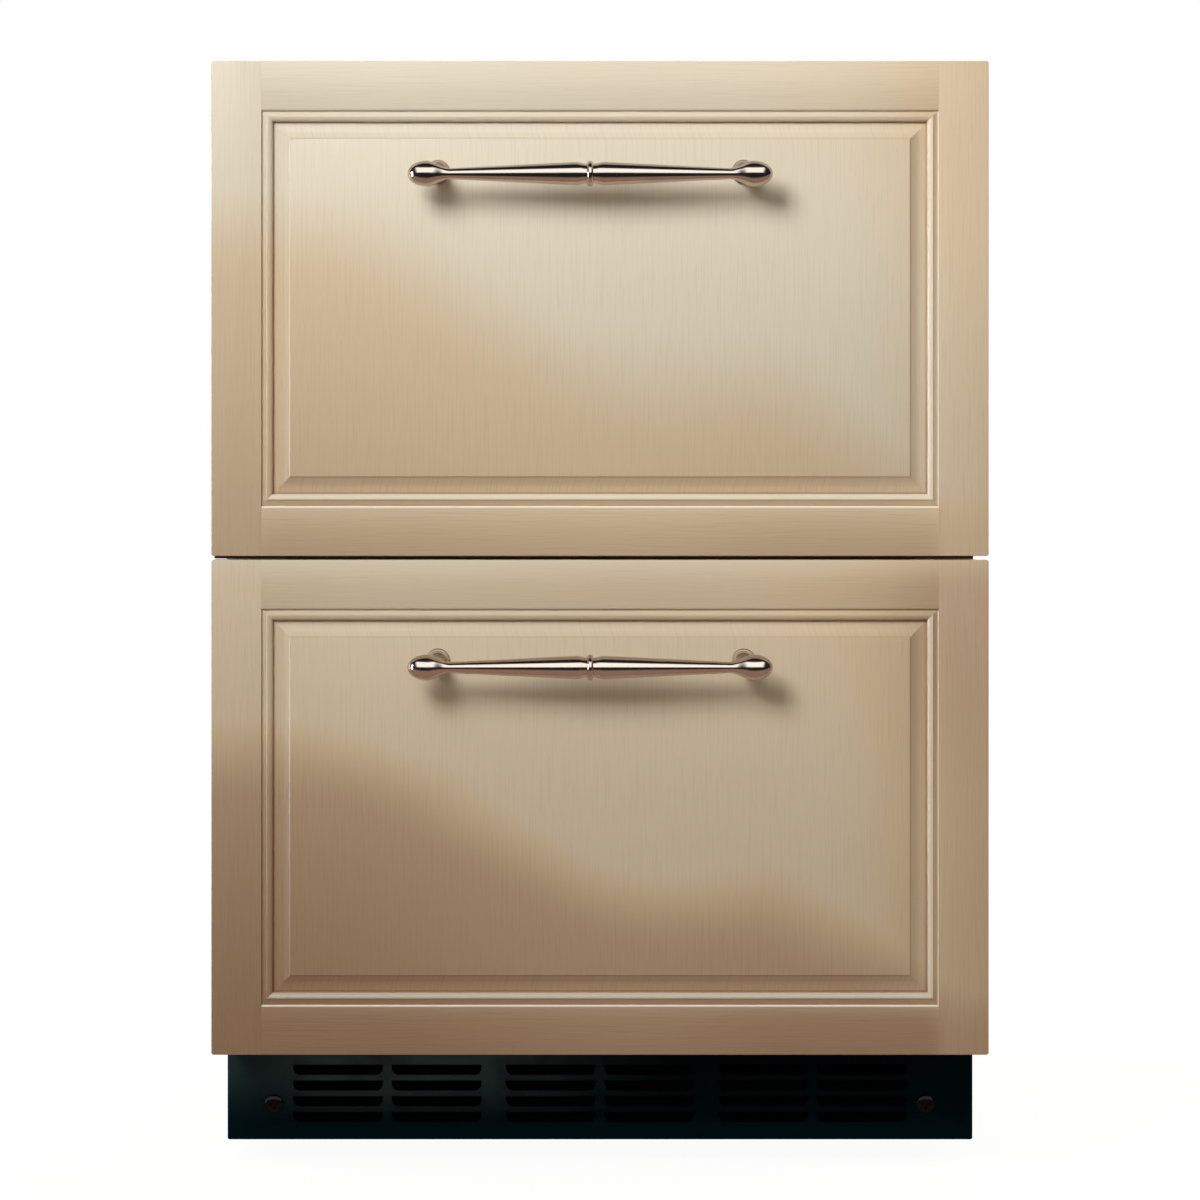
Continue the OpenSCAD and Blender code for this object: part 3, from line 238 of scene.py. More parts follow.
def lay_grain(bm, direction):
    """Gives every face a map whose first number runs along the brush strokes."""
    layer = bm.loops.layers.uv["grain"]
    for face in bm.faces:
        for loop in face.loops:
            x, y, z = loop.vert.co
            loop[layer].uv = (z, x + 0.7 * y) if direction == "up" else (x, z + 0.7 * y)


def joined(parts):
    """One bmesh from several."""
    whole = new_bmesh()
    for part in parts:
        mesh = bpy.data.meshes.new("part")
        part.to_mesh(mesh)
        part.free()
        whole.from_mesh(mesh)
        bpy.data.meshes.remove(mesh)
    return whole


def object_from(bm, name, material, angle=35, weld=True):
    """A mesh object with welded points, faces outwards and crisp edges kept."""
    if weld:
        bmesh.ops.remove_doubles(bm, verts=bm.verts, dist=1e-7)
    bmesh.ops.recalc_face_normals(bm, faces=bm.faces)
    mesh = bpy.data.meshes.new(name)
    bm.to_mesh(mesh)
    bm.free()
    if not mesh.materials:
        mesh.materials.append(material)
    return object_of(mesh, name, angle)


def object_of(mesh, name, angle=35):
    """Links a mesh as an object, smooth except at edges sharper than the angle."""
    mesh.name = name
    mesh.shade_smooth()
    mesh.set_sharp_from_angle(angle=math.radians(angle))
    obj = bpy.data.objects.new(name, mesh)
    bpy.context.scene.collection.objects.link(obj)
    return obj


def sharpen_mitres(obj):
    """Keeps the slanting edges crisp where mouldings meet at a corner."""
    points = obj.data.vertices
    for edge in obj.data.edges:
        a, b = (points[i].co for i in edge.vertices)
        if min(abs(a.x - b.x), abs(a.z - b.z)) > 1e-5:
            edge.use_edge_sharp = True
    return obj


def seat(obj, body, slot, *replaces):
    """Lets a finished piece ride on its body and hides the nodes it stands for. The slot is not
    used.
    """
    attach(obj, body)
    if replaces:
        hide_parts(*replaces)
    return obj


def flattened(obj, name, angle=35):
    """The evaluated object as a plain mesh object; the first one is removed."""
    bpy.context.view_layer.update()
    graph = bpy.context.evaluated_depsgraph_get()
    mesh = bpy.data.meshes.new_from_object(obj.evaluated_get(graph))
    bpy.data.objects.remove(obj)
    return object_of(mesh, name, angle)


def punched_sheet(name, outline, holes, place, thickness, ease, material):
    """A flat sheet with holes and eased edges, from a filled curve."""
    curve = bpy.data.curves.new(name, "CURVE")
    curve.dimensions = "2D"
    curve.fill_mode = "BOTH"
    curve.extrude = thickness / 2 - ease
    curve.bevel_depth = ease
    curve.offset = -ease
    curve.bevel_resolution = 1
    for points in [outline] + holes:
        spline = curve.splines.new("POLY")
        spline.points.add(len(points) - 1)
        for point, (x, z) in zip(spline.points, points):
            point.co = (x, z, 0.0, 1.0)
        spline.use_cyclic_u = True
    obj = bpy.data.objects.new(name, curve)
    bpy.context.scene.collection.objects.link(obj)
    sheet = flattened(obj, name)
    bm = bmesh.new()
    bm.from_mesh(sheet.data)
    bpy.data.objects.remove(sheet)
    for vert in bm.verts:
        vert.co = place(*vert.co)
    return object_from(bm, name, material)


# ---- Geometry Nodes ----

def rows_tree():
    """Copies the object's own mesh along three nested rows."""
    tree = bpy.data.node_groups.new("nested_rows", "GeometryNodeTree")
    sockets = [("Geometry", "Geometry"), ("Start", "Vector"), ("Material", "Material")]
    for row in "ABC":
        sockets += [("Count " + row, "Int"), ("Step " + row, "Vector")]
    for name, kind in sockets:
        tree.interface.new_socket(name, in_out="INPUT", socket_type="NodeSocket" + kind)
    tree.interface.new_socket("Geometry", in_out="OUTPUT", socket_type="NodeSocketGeometry")
    new, link = tree.nodes.new, tree.links.new
    given = new("NodeGroupInput").outputs
    points = None
    for row in "ABC":
        line = new("GeometryNodeMeshLine")
        link(given["Count " + row], line.inputs["Count"])
        link(given["Step " + row], line.inputs["Offset"])
        if points is None:
            link(given["Start"], line.inputs["Start Location"])
            points = line.outputs["Mesh"]
        else:
            points = copied(tree, points, line.outputs["Mesh"])
    painted = new("GeometryNodeSetMaterial")
    link(copied(tree, points, given["Geometry"]), painted.inputs["Geometry"])
    link(given["Material"], painted.inputs["Material"])
    link(painted.outputs["Geometry"], new("NodeGroupOutput").inputs["Geometry"])
    return tree


def copied(tree, points, shape):
    """Puts a shape on points and makes the copies real."""
    put = tree.nodes.new("GeometryNodeInstanceOnPoints")
    real = tree.nodes.new("GeometryNodeRealizeInstances")
    tree.links.new(points, put.inputs["Points"])
    tree.links.new(shape, put.inputs["Instance"])
    tree.links.new(put.outputs["Instances"], real.inputs["Geometry"])
    return real.outputs["Geometry"]


def in_rows(bm, name, material, start, rows, angle=35):
    """The bmesh copied in nested rows of (count, step), as one plain mesh object."""
    unit = object_from(bm, name + "_unit", material, angle)
    values = {"Start": start, "Material": material}
    for key, (count, step) in zip("ABC", list(rows) + [(1, (0, 0, 0))] * (3 - len(rows))):
        values["Count " + key] = count
        values["Step " + key] = step
    return grown(unit, bpy.data.node_groups.get("nested_rows") or rows_tree(),
                 values, name, angle)


def grown(unit, tree, values, name, angle=35):
    """Runs a tree on an object with the given inputs and returns the plain result."""
    mod = unit.modifiers.new(tree.name, "NODES")
    mod.node_group = tree
    for item in tree.interface.items_tree:
        if item.item_type == "SOCKET" and item.in_out == "INPUT" and item.name in values:
            mod[item.identifier] = values[item.name]
    return flattened(unit, name, angle)


# ---- Materials ----

class Nodes:
    """A node tree with short calls to add nodes to it."""

    def __init__(self, tree):
        self.tree = tree
        tree.nodes.clear()

    def node(self, kind, **settings):
        """A new node of a kind."""
        made = self.tree.nodes.new(kind)
        for key, value in settings.items():
            setattr(made, key, value)
        return made

    def put(self, node, socket, value):
        """Gives a socket a value, or a link from another node."""
        if isinstance(value, bpy.types.NodeSocket):
            self.tree.links.new(value, node.inputs[socket])
        else:
            node.inputs[socket].default_value = value

    def math(self, operation, a, b=0.0, clamp=False):
        made = self.node("ShaderNodeMath", operation=operation, use_clamp=clamp)
        self.put(made, 0, a)
        self.put(made, 1, b)
        return made.outputs[0]

    def between(self, value, low, high, out_low=0.0, out_high=1.0):
        """Smooth step from low to high."""
        made = self.node("ShaderNodeMapRange", interpolation_type="SMOOTHSTEP")
        for socket, x in zip(("Value", "From Min", "From Max", "To Min", "To Max"),
                             (value, low, high, out_low, out_high)):
            self.put(made, socket, x)
        return made.outputs["Result"]

    def product(self, first, *others):
        for other in others:
            first = self.math("MULTIPLY", first, other)
        return first

    def mix(self, share, a, b):
        """Colour a where share is zero and b where it is one."""
        made = self.node("ShaderNodeMix", data_type="RGBA")
        self.put(made, 0, share)
        self.put(made, 6, a if isinstance(a, bpy.types.NodeSocket) else (*a, 1.0))
        self.put(made, 7, b if isinstance(b, bpy.types.NodeSocket) else (*b, 1.0))
        return made.outputs[2]

    def ramp(self, share, stops):
        """Colours at places from 0 to 1."""
        made = self.node("ShaderNodeValToRGB")
        self.put(made, 0, share)
        elements = made.color_ramp.elements
        while len(elements) < len(stops):
            elements.new(0.5)
        for element, (place, tone) in zip(elements, stops):
            element.position = place
            element.color = (*tone, 1.0)
        return made.outputs[0]

    def blend_shaders(self, share, a, b):
        made = self.node("ShaderNodeMixShader")
        for socket, value in enumerate((share, a, b)):
            self.put(made, socket, value)
        return made.outputs[0]

    def split(self, vector):
        """The x, y and z of a vector."""
        made = self.node("ShaderNodeSeparateXYZ")
        self.put(made, 0, vector)
        return made.outputs

    def rays(self):
        """The camera's rays, and those by which gloss and glass show the surroundings."""
        path = self.node("ShaderNodeLightPath")
        shown = self.math("ADD", path.outputs["Is Glossy Ray"],
                          path.outputs["Is Transmission Ray"], clamp=True)
        return path.outputs["Is Camera Ray"], shown


class Finish(Nodes):
    """A new material around one Principled shader."""

    def __init__(self, name, **sockets):
        self.material = bpy.data.materials.new(name)
        self.material.use_nodes = True
        super().__init__(self.material.node_tree)
        self.shader = self.node("ShaderNodeBsdfPrincipled")
        out = self.node("ShaderNodeOutputMaterial")
        self.put(out, "Surface", self.shader.outputs["BSDF"])
        for socket, value in sockets.items():
            self.shader.inputs[socket.replace("_", " ")].default_value = value

    def place(self, scale=(1, 1, 1), source="Object"):
        """Object coordinates, or the grain map, stretched."""
        if source == "grain":
            coords = self.node("ShaderNodeUVMap", uv_map="grain").outputs["UV"]
        else:
            coords = self.node("ShaderNodeTexCoord").outputs["Object"]
        mapping = self.node("ShaderNodeMapping")
        self.put(mapping, "Vector", coords)
        mapping.inputs["Scale"].default_value = scale
        return mapping.outputs["Vector"]

    def noise(self, scale, detail=3.0, stretch=(1, 1, 1), source="Object"):
        made = self.node("ShaderNodeTexNoise")
        self.put(made, "Vector", self.place(stretch, source))
        self.put(made, "Scale", scale)
        self.put(made, "Detail", detail)
        return made.outputs["Fac"]

    def cells(self, scale):
        """The outputs of a pattern of cells."""
        made = self.node("ShaderNodeTexVoronoi", feature="F1")
        self.put(made, "Vector", self.place())
        self.put(made, "Scale", scale)
        return made.outputs

    def paint(self, socket, value):
        """Gives a socket of the Principled shader a value or a link."""
        self.put(self.shader, socket, value)

    def bump(self, height, strength, distance):
        made = self.node("ShaderNodeBump")
        self.put(made, "Strength", strength)
        self.put(made, "Distance", distance)
        self.put(made, "Height", height)
        self.paint("Normal", made.outputs["Normal"])


def shaded(tone, factor):
    """A colour made darker or lighter."""
    return [min(1.0, c * factor) for c in tone]


def painted_shade_share(f):
    """How much painted shade lies on the fronts' faces, most of it on the lower part of each.
    """
    x, _, z = f.split(f.place())
    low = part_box("lower_stiles")[0].z
    up = f.math("DIVIDE", f.math("MODULO", f.math("SUBTRACT", z, low), FRONT_LO.z - low),
                FRONT_HI.z - FRONT_LO.z)
    side = f.math("DIVIDE", x, FRONT_HI.x)
    # The painted shade of a front ends at this height, as a share of the front's height.
    edge = f.math("SUBTRACT", 0.67, f.between(side, -0.85, 0.2, 0.0, 0.33))
    edge = f.math("SUBTRACT", edge, f.between(side, 0.35, 0.95, 0.0, 0.16))
    cloud = f.math("MULTIPLY", f.math("SUBTRACT", f.noise(6.0, 2.0), 0.5), 0.12)
    rise = f.math("ADD", f.math("SUBTRACT", up, edge), cloud)
    # Below that edge the front gets painted shade, more toward the bottom and the left.
    painted_shade = f.product(f.between(rise, 0.12, -0.14), f.between(z, 0.68, 0.02, 0.33, 1.0),
                       f.between(side, -0.85, 0.1, 1.0, 0.80))
    # A thin painted shade lies over the cream part, mostly to the right and on the lower front.
    lower = f.between(z, 0.50, 0.46)
    thin_painted_shade = f.math("ADD", f.between(side, 0.58, 1.0, 0.0, 0.26),
                  f.product(f.between(rise, 0.25, 0.75), f.between(side, 0.3, 0.7, 0.08, 0.15)))
    thin_painted_shade = f.math("ADD", thin_painted_shade, f.between(side, -0.5, -0.95, 0.0, 0.05))
    thin_painted_shade = f.product(f.math("ADD", thin_painted_shade, f.product(lower, 0.10)),
                     f.math("ADD", 1.0, f.product(lower, 0.5)))
    # The bottom rail of each front gets more painted shade, most to the right.
    bottom_rail_shade = f.product(f.between(up, 0.12, 0.07),
                            f.between(f.math("ABSOLUTE", side), 0.90, 0.84, 0.0, 0.10),
                            f.between(side, 0.1, 0.5, 1.0, 1.9))
    return f.math("ADD", f.math("MAXIMUM", painted_shade, thin_painted_shade), bottom_rail_shade)


def glazed_paint(s):
    """Cream paint with brush strokes, painted shade on the lower part of each front, brown
    glaze in the grooves and painted highlights on the lower and right edges.
    """
    f = Finish("glazed_paint")
    strokes = f.noise(1.0, 4.0, (18.0, 900.0, 1.0), "grain")
    fine = f.noise(1.0, 2.0, (40.0, 2600.0, 1.0), "grain")
    streak = f.math("MULTIPLY", f.math("SUBTRACT", strokes, 0.5), 0.10)
    # Where the painted shade share rises, the cream turns into the two painted shade tones.
    base = f.ramp(f.math("ADD", painted_shade_share(f), streak, clamp=True),
                  ((0.0, s.paint), (0.32, s.painted_shade), (1.0, s.deep_painted_shade)))
    # The glaze attribute is above zero in grooves and below zero where edges get a painted
    # highlight of lighter paint.
    groove = f.node("ShaderNodeAttribute", attribute_name="glaze").outputs["Fac"]
    broken = f.math("MULTIPLY", groove, f.between(strokes, 0.2, 0.6, 0.78, 1.0))
    painted_highlight = f.math("MULTIPLY", groove, -1.0, clamp=True)
    f.paint("Base Color", f.mix(painted_highlight, f.mix(broken, base, s.glaze), s.painted_highlight))
    f.paint("Roughness", f.between(strokes, 0.2, 0.8, 0.25, 0.32))
    f.bump(f.math("ADD", strokes, f.math("MULTIPLY", fine, 0.5)), 0.12, 0.0001)
    return f.material


def satin_nickel(s):
    """Warm nickel with faint lines from turning, along X, random brown tarnish, and brown near
    the panel as a painted reflection of the paint.
    """
    f = Finish("satin_nickel", Metallic=1.0)
    y = f.split(f.place())[1]
    near_front = f.between(y, s.bar_axis + 0.0105, s.bar_axis + 0.0135)
    lines = f.noise(1.0, 2.0, (1500.0, 20.0, 20.0))
    clouds = f.noise(60.0, 2.0)
    tone = f.mix(f.math("MULTIPLY", lines, 0.16), s.nickel, shaded(s.nickel, 0.62))
    # Random patches are brown tarnish; near the panel the brown is a painted reflection of the
    # paint.
    patchy_tone_and_painted_reflection = f.math("MAXIMUM", f.between(clouds, 0.55, 0.75, 0.0, 0.2), near_front)
    f.paint("Base Color", f.mix(patchy_tone_and_painted_reflection, tone, s.patchy_tone_and_painted_reflection))
    f.paint("Roughness", f.math("ADD", f.between(lines, 0.3, 0.7, 0.10, 0.16),
                                f.product(near_front, 0.35)))
    f.bump(lines, 0.08, 0.00003)
    return f.material


def kick_black(s):
    """Black powder coat with a fine grain, a faint green painted sheen at the upper left, and
    louvres painted black as painted shade.
    """
    f = Finish("kick_black", Specular_IOR_Level=0.02)
    x, y, z = f.split(f.place())
    cloud = f.noise(26.0, 4.0)
    grain = f.noise(2400.0, 2.0)
    # A patchy green painted sheen lies over the upper left of the face.
    patchy_tone_and_painted_reflection = f.product(f.between(cloud, 0.2, 0.6, 0.5, 1.0), f.between(z, 0.031, 0.075),
                     f.between(x, 0.07, -0.15), f.between(x, -0.29, -0.2, 0.3, 1.0))
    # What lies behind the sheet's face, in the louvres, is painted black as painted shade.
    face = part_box("toe_kick")[0].y
    outside_painted_shade = f.between(y, face + 0.0012, face + 0.0004)
    f.paint("Base Color", f.mix(outside_painted_shade, (0.0, 0.0, 0.0), f.mix(patchy_tone_and_painted_reflection, s.black, s.painted_sheen)))
    f.paint("Roughness", f.between(cloud, 0.3, 0.7, 0.50, 0.65))
    f.bump(grain, 0.25, 0.00008)
    return f.material


def zinc_sheet(tone):
    """Zinc-coated sheet with spangles and rolling marks."""
    f = Finish("zinc_sheet", Metallic=0.7)
    shade = f.node("ShaderNodeSeparateColor")
    f.put(shade, 0, f.cells(150.0)["Color"])
    rolled = f.noise(1.0, 3.0, (9.0, 9.0, 300.0))
    share = f.math("ADD", f.math("MULTIPLY", shade.outputs[0], 0.4),
                   f.math("MULTIPLY", rolled, 0.25), clamp=True)
    f.paint("Base Color", f.mix(share, shaded(tone, 0.8), shaded(tone, 1.18)))
    f.paint("Roughness", f.between(shade.outputs[1], 0.0, 1.0, 0.36, 0.52))
    f.bump(rolled, 0.06, 0.0002)
    return f.material


def brushed_steel(name, tone):
    """Bright steel with lines along Y."""
    f = Finish(name, Metallic=1.0)
    lines = f.noise(1.0, 3.0, (900.0, 12.0, 900.0))
    blotch = f.noise(30.0, 3.0)
    f.paint("Base Color", f.mix(f.between(blotch, 0.3, 0.75), tone, shaded(tone, 0.8)))
    f.paint("Roughness", f.between(lines, 0.3, 0.7, 0.22, 0.38))
    f.bump(lines, 0.12, 0.00005)
    return f.material


def moulded(name, tone, rough, grain=900.0, depth=0.00006, **sockets):
    """Moulded plastic, rubber or coated metal: fine skin, slight clouding."""
    f = Finish(name, **sockets)
    skin_noise = f.noise(grain, 3.0)
    cloud = f.noise(14.0, 3.0)
    f.paint("Base Color", f.mix(f.between(cloud, 0.3, 0.75), tone, shaded(tone, 0.86)))
    f.paint("Roughness", f.between(skin_noise, 0.3, 0.7, rough * 0.85, min(1.0, rough * 1.15)))
    f.bump(skin_noise, 0.3, depth)
    return f.material


def clear_plastic(name, tone, rough, weight):
    """Clear moulded plastic with faint flow marks."""
    f = Finish(name, IOR=1.49, Transmission_Weight=weight)
    flow = f.noise(1.0, 2.0, (14.0, 14.0, 60.0))
    f.paint("Base Color", f.mix(f.between(flow, 0.3, 0.7), tone, shaded(tone, 0.95)))
    f.paint("Roughness", f.between(flow, 0.3, 0.7, rough * 0.7, rough * 1.3))
    f.bump(flow, 0.05, 0.0004)
    return f.material


def foam_finish(tone):
    """Rigid foam with small cells."""
    f = Finish("rigid_foam", Roughness=0.9)
    distance = f.cells(700.0)["Distance"]
    f.paint("Base Color", f.mix(f.between(distance, 0.1, 0.7), tone, shaded(tone, 0.8)))
    f.bump(distance, 0.5, 0.0004)
    return f.material


def make_finishes(scene):
    """Every finish, by the name of the record's slot."""
    inside = scene.fridge_inside
    return {
        "glazed_paint": glazed_paint(scene.fridge_fronts),
        "satin_nickel": satin_nickel(scene.fridge_handles),
        "black_kick": kick_black(scene.fridge_kick),
        "galvanised_sheet": zinc_sheet(inside.sheet),
        "rigid_foam": foam_finish((0.78, 0.68, 0.42)),
        "door_foam": moulded("door_liner", (0.78, 0.79, 0.79), 0.35),
        "white_liner": moulded("white_liner", inside.liner, 0.30, 500.0, 0.00008,
                               Coat_Weight=0.15),
        "grey_trim": moulded("grey_trim", (0.24, 0.25, 0.26), 0.45),
        "black_sheet": moulded("black_sheet", (0.022, 0.023, 0.024), 0.42, 1500.0),
        "black_screw": moulded("black_screw", (0.001, 0.003, 0.004), 0.16, 900.0, 0.00002,
                               Specular_IOR_Level=0.14),
        # The gap strip's near-black brown is painted shade with a brown cast of painted
        # reflection from the paint.
        "gap_painted_shade": moulded("gap_painted_shade", (0.11, 0.055, 0.024), 0.6),
        "screw_steel": brushed_steel("screw_steel", (0.42, 0.42, 0.43)),
        "black_shell": moulded("black_shell", (0.014, 0.014, 0.015), 0.22, 300.0, 0.0001,
                               Coat_Weight=0.5),
        "coil_aluminium": brushed_steel("coil_aluminium", (0.62, 0.63, 0.64)),
        "black_plastic": moulded("black_plastic", (0.025, 0.025, 0.027), 0.55),
        "clear_lens": clear_plastic("clear_lens", (0.93, 0.95, 0.96), 0.28, 0.75),
        "slide_steel": brushed_steel("slide_steel", (0.58, 0.59, 0.60)),
        "grey_fan": moulded("grey_fan", (0.33, 0.34, 0.35), 0.4),
        "grey_buttons": moulded("grey_buttons", (0.30, 0.31, 0.32), 0.5),
        "black_rubber": moulded("black_rubber", (0.02, 0.02, 0.021), 0.75, 700.0, 0.0001),
        "seal_rubber": moulded("seal_rubber", (0.62, 0.62, 0.61), 0.6, 800.0, 0.0001),
        "clear_bin": clear_plastic("clear_bin", (0.92, 0.95, 0.96), 0.09, 0.88),
    }


FINISHES = {}


def finish(slot):
    """The material of a slot, made once."""
    if not FINISHES:
        FINISHES.update(make_finishes(bpy.context.scene))
    return FINISHES[slot]


# ---- Fronts ----

def moulding_profile(s):
    """(inward, back, glaze) from the frame over the fillet and the bead to the groove."""
    crest, end = s.fillet_width + 0.0009, s.fillet_width + s.bead_width
    points = [(0.0, s.fillet_depth, 0.45), (0.0004, s.fillet_depth, 0.4),
              (0.0008, s.fillet_depth - 0.0001, 0.05),
              (s.fillet_width, s.fillet_depth - 0.0010, 0.0),
              (s.fillet_width + 0.0003, s.fillet_depth - 0.0014, 0.0)]
    drop = s.groove_depth - s.field_set - 0.0010
    for i, (u, v) in enumerate(arc(crest, s.field_set + drop, end - crest, -drop, 90, 20, 10)):
        points.append((u, v, 0.0 if i < 10 else 0.2))
    return points + [(end, s.groove_depth, 0.5)]


def hollow(share):
    """Rise of the field's border: curved up to a bend and straight above it."""
    bend = 0.55
    return share ** 2 if share < bend else bend ** 2 + (share - bend) * (1 + bend)


def field_profile(s):
    """(inward, back, glaze) from the groove up the hollow and the shoulder to the flat."""
    start, deep, flat = s.fillet_width + s.bead_width, s.groove_depth, s.field_set
    u = start + s.groove_width
    foot, low = deep - 0.0002, flat + 0.0007
    points = [(start, deep, 0.5), (u - 0.0002, deep, 0.5), (u, foot, 0.25)]
    run = s.slope_width - s.groove_width
    for share, glaze in ((0.04, 0.1), (0.12, 0.05), (0.25, 0.0), (0.4, 0.0), (0.55, 0.0),
                         (0.7, 0.0), (0.85, 0.0), (0.94, 0.06), (1.0, 0.3)):
        points.append((u + run * share, foot - (foot - low) * hollow(share), glaze))
    top = start + s.slope_width
    return points + [(top + 0.0003, low - 0.0004, 0.25), (top + 0.0006, flat + 0.0001, 0.1),
                     (top + 0.0010, flat, 0.0)]


def eased_board(lo, hi, outer, inner, direction, s, painted_highlight=False, corner=0.0):
    """A board with rounded outer front edges and corners and an eased inner front edge.

    Edges are given as (axis, place). With the flag set, the inner edge gets lighter paint, a
    painted highlight.
    """
    bm = new_bmesh()
    block(bm, lo, hi)

    def near(edge, picks, reach=0.0):
        ends = [v.co for v in edge.verts]
        return any(all(abs(p[axis] - at) < reach + 1e-6 for p in ends) for axis, at in picks)

    def ease(edges, size, steps):
        bmesh.ops.bevel(bm, geom=edges, offset=size, segments=steps, profile=0.5,
                        affect="EDGES", clamp_overlap=True)

    if corner:
        ease([e for e in bm.edges if near(e, outer[:1])
              and e.verts[0].co.z == e.verts[1].co.z], corner, 5)
    for picks, size, reach in ((outer, s.edge_radius, corner), ((inner,), s.arris, 0.0)):
        ease([e for e in bm.edges if near(e, picks, reach) and near(e, ((1, lo[1]),))],
             size, 3)
    if painted_highlight:
        # The inner edge's points get lighter paint, a painted highlight.
        axis, at = inner
        layer = bm.verts.layers.float["glaze"]
        for v in bm.verts:
            if 1e-5 < v.co.y - lo[1] < s.arris - 1e-5 and abs(v.co[axis] - at) < s.arris:
                v[layer] = -1.0
    lay_grain(bm, direction)
    return bm


def inset_corner(k, inset, z0, z1, half):
    """Corner k of a rectangle, moved inwards."""
    x = (half - inset) * (1 if k in (1, 2) else -1)
    z = z0 + inset if k < 2 else z1 - inset
    return x, z


def frame_boards(lo, hi, z0, z1, half, s):
    """Two stiles, and the two rails between them."""
    stiles = []
    for side in (-1, 1):
        xs = sorted((side * hi.x, side * half))
        stiles.append(eased_board(
            (xs[0], lo.y, lo.z), (xs[1], hi.y, hi.z),
            ((0, side * hi.x), (2, lo.z), (2, hi.z)), (0, side * half), "up", s,
            corner=s.corner))
    rails = []
    for edge, opening in ((lo.z, z0), (hi.z, z1)):
        a, b = sorted((edge, opening))
        # The lower rail's inner edge gets a painted highlight of lighter paint.
        rails.append(eased_board((-half, lo.y, a), (half, hi.y, b), ((2, edge),),
                                 (2, opening), "across", s, painted_highlight=edge == lo.z))
    return stiles, rails


def strip_glaze_and_highlight(k, u, glaze, s):
    """Glaze on strip k, with a painted highlight of lighter paint on the lower and right beads
    and the right strip's outer line.
    """
    edge = 0.0005
    if k == 1 and u < edge:
        return -1.0
    if k < 2 and u > s.fillet_width + edge and not glaze:
        return -0.45
    return glaze


def moulding_strips(at, outline, s):
    """The moulding's lower, right, upper and left strip."""
    strips = []
    for k in range(4):
        bm = new_bmesh()
        rings = [[at(k, u, v), at((k + 1) % 4, u, v)] for u, v, _ in outline]
        tones = [strip_glaze_and_highlight(k, u, glaze, s) for u, _, glaze in outline]
        made = skin(bm, rings + rings[:1], closed=False, glaze=tones + tones[:1])
        for end in (0, 1):
            bm.faces.new([ring[end] for ring in made[:-1]])
        lay_grain(bm, "across" if k % 2 == 0 else "up")
        strips.append(bm)
    return strips


def raised_field(at, depth, tongue, s):
    """The field, down to the back of the frame."""
    shape = [(0.0, depth, 0.5), (0.0, tongue, 0.5),
             (s.fillet_width + s.bead_width, tongue, 1.0)] + field_profile(s)
    bm = new_bmesh()
    skin(bm, [[at(k, u, v) for k in range(4)] for u, v, _ in shape], caps=(True, True),
         glaze=[glaze for _, _, glaze in shape])
    lay_grain(bm, "up")
    return bm


def build_front(drawer, s):
    """Stiles, rails, moulding strips and raised field of one drawer."""
    lo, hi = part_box(drawer + "_stiles")
    half = hi.x - s.stile_width
    z0, z1 = lo.z + s.rail_width, hi.z - s.rail_width
    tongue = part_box(drawer + "_moulding")[1].y - lo.y

    def at(corner, u, v):
        x, z = inset_corner(corner, u, z0, z1, half)
        return Vector((x, lo.y + v, z + s.lift * min(1.0, u / s.fillet_width)))

    profile = moulding_profile(s)
    outline = profile + [(profile[-1][0], tongue, 0.9), (0.0, tongue, 0.9)]
    stiles, rails = frame_boards(lo, hi, z0, z1, half, s)
    strips = moulding_strips(at, outline, s)
    field = raised_field(at, hi.y - lo.y, tongue, s)
    for kind, parts, angle in (("stiles", stiles, 40), ("rails", rails, 40),
                               ("moulding", strips, 50), ("field", [field], 32)):
        obj = object_from(joined(parts), drawer + "_front_" + kind, finish("glazed_paint"),
                          angle, weld=False)
        if kind == "field":
            sharpen_mitres(obj)
        seat(obj, drawer + "_drawer", "glazed_paint", drawer + "_" + kind)


def build_gap_shade_strip(s):
    """A dark strip under the upper front, painted shade that darkens the gap, brown as a
    painted reflection of the paint.
    """
    lo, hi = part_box("upper_stiles")
    top, bottom = lo.z, lo.z - s.strip_height
    ease, back_gap = 0.0008, 0.001
    y0, y1 = lo.y + s.strip_set, hi.y - back_gap
    bm = new_bmesh()
    outline = [(y0, top), (y0, bottom + ease), (y0 + ease, bottom), (y1, bottom), (y1, top)]
    skin(bm, [[Vector((x, y, z)) for y, z in outline]
              for x in (lo.x + s.strip_left, hi.x - s.strip_right)], caps=(True, True))
    seat(object_from(bm, "gap_shade_strip", finish("gap_painted_shade")), "upper_drawer",
         "black_rubber")


# ---- Handles ----

def bar_profile(s, total):
    """(distance from the tip, radius) of a whole bar: eggs, tapers, waists and ring."""
    half, egg_radius = total / 2, s.egg_radius
    points = []
    for i in range(15):
        a = math.radians(90 * i / 14)
        points.append((s.egg_fat * (1 - math.cos(a)), egg_radius * math.sin(a)))
    for i in range(1, 15):
        t = i / 14
        shape = (1 + math.cos(math.pi * t)) / 2
        points.append((s.egg_fat + (s.egg_length - s.egg_fat) * t,
                       s.neck_radius + (egg_radius - s.neck_radius) * shape))
    fat = half - s.ring_width / 2 - s.waist_length
    for i in range(1, 9):
        t = i / 8
        points.append((s.egg_length + (fat - s.egg_length) * t,
                       s.neck_radius + (s.taper_radius - s.neck_radius) * t))
    for i in range(1, 6):
        t = i / 5
        points.append((fat + s.waist_length * t,
                       s.taper_radius + (s.waist_radius - s.taper_radius)
                       * (1 - math.cos(math.pi * t)) / 2))
    ring = s.ring_width / 2
    centre = egg_radius - ring
    for d, r in arc(half, centre, ring, ring, 180, 90, 9):
        points.append((d, max(r, s.waist_radius)))
    mirrored = [(total - d, r) for d, r in points[-2::-1]]
    return points + mirrored


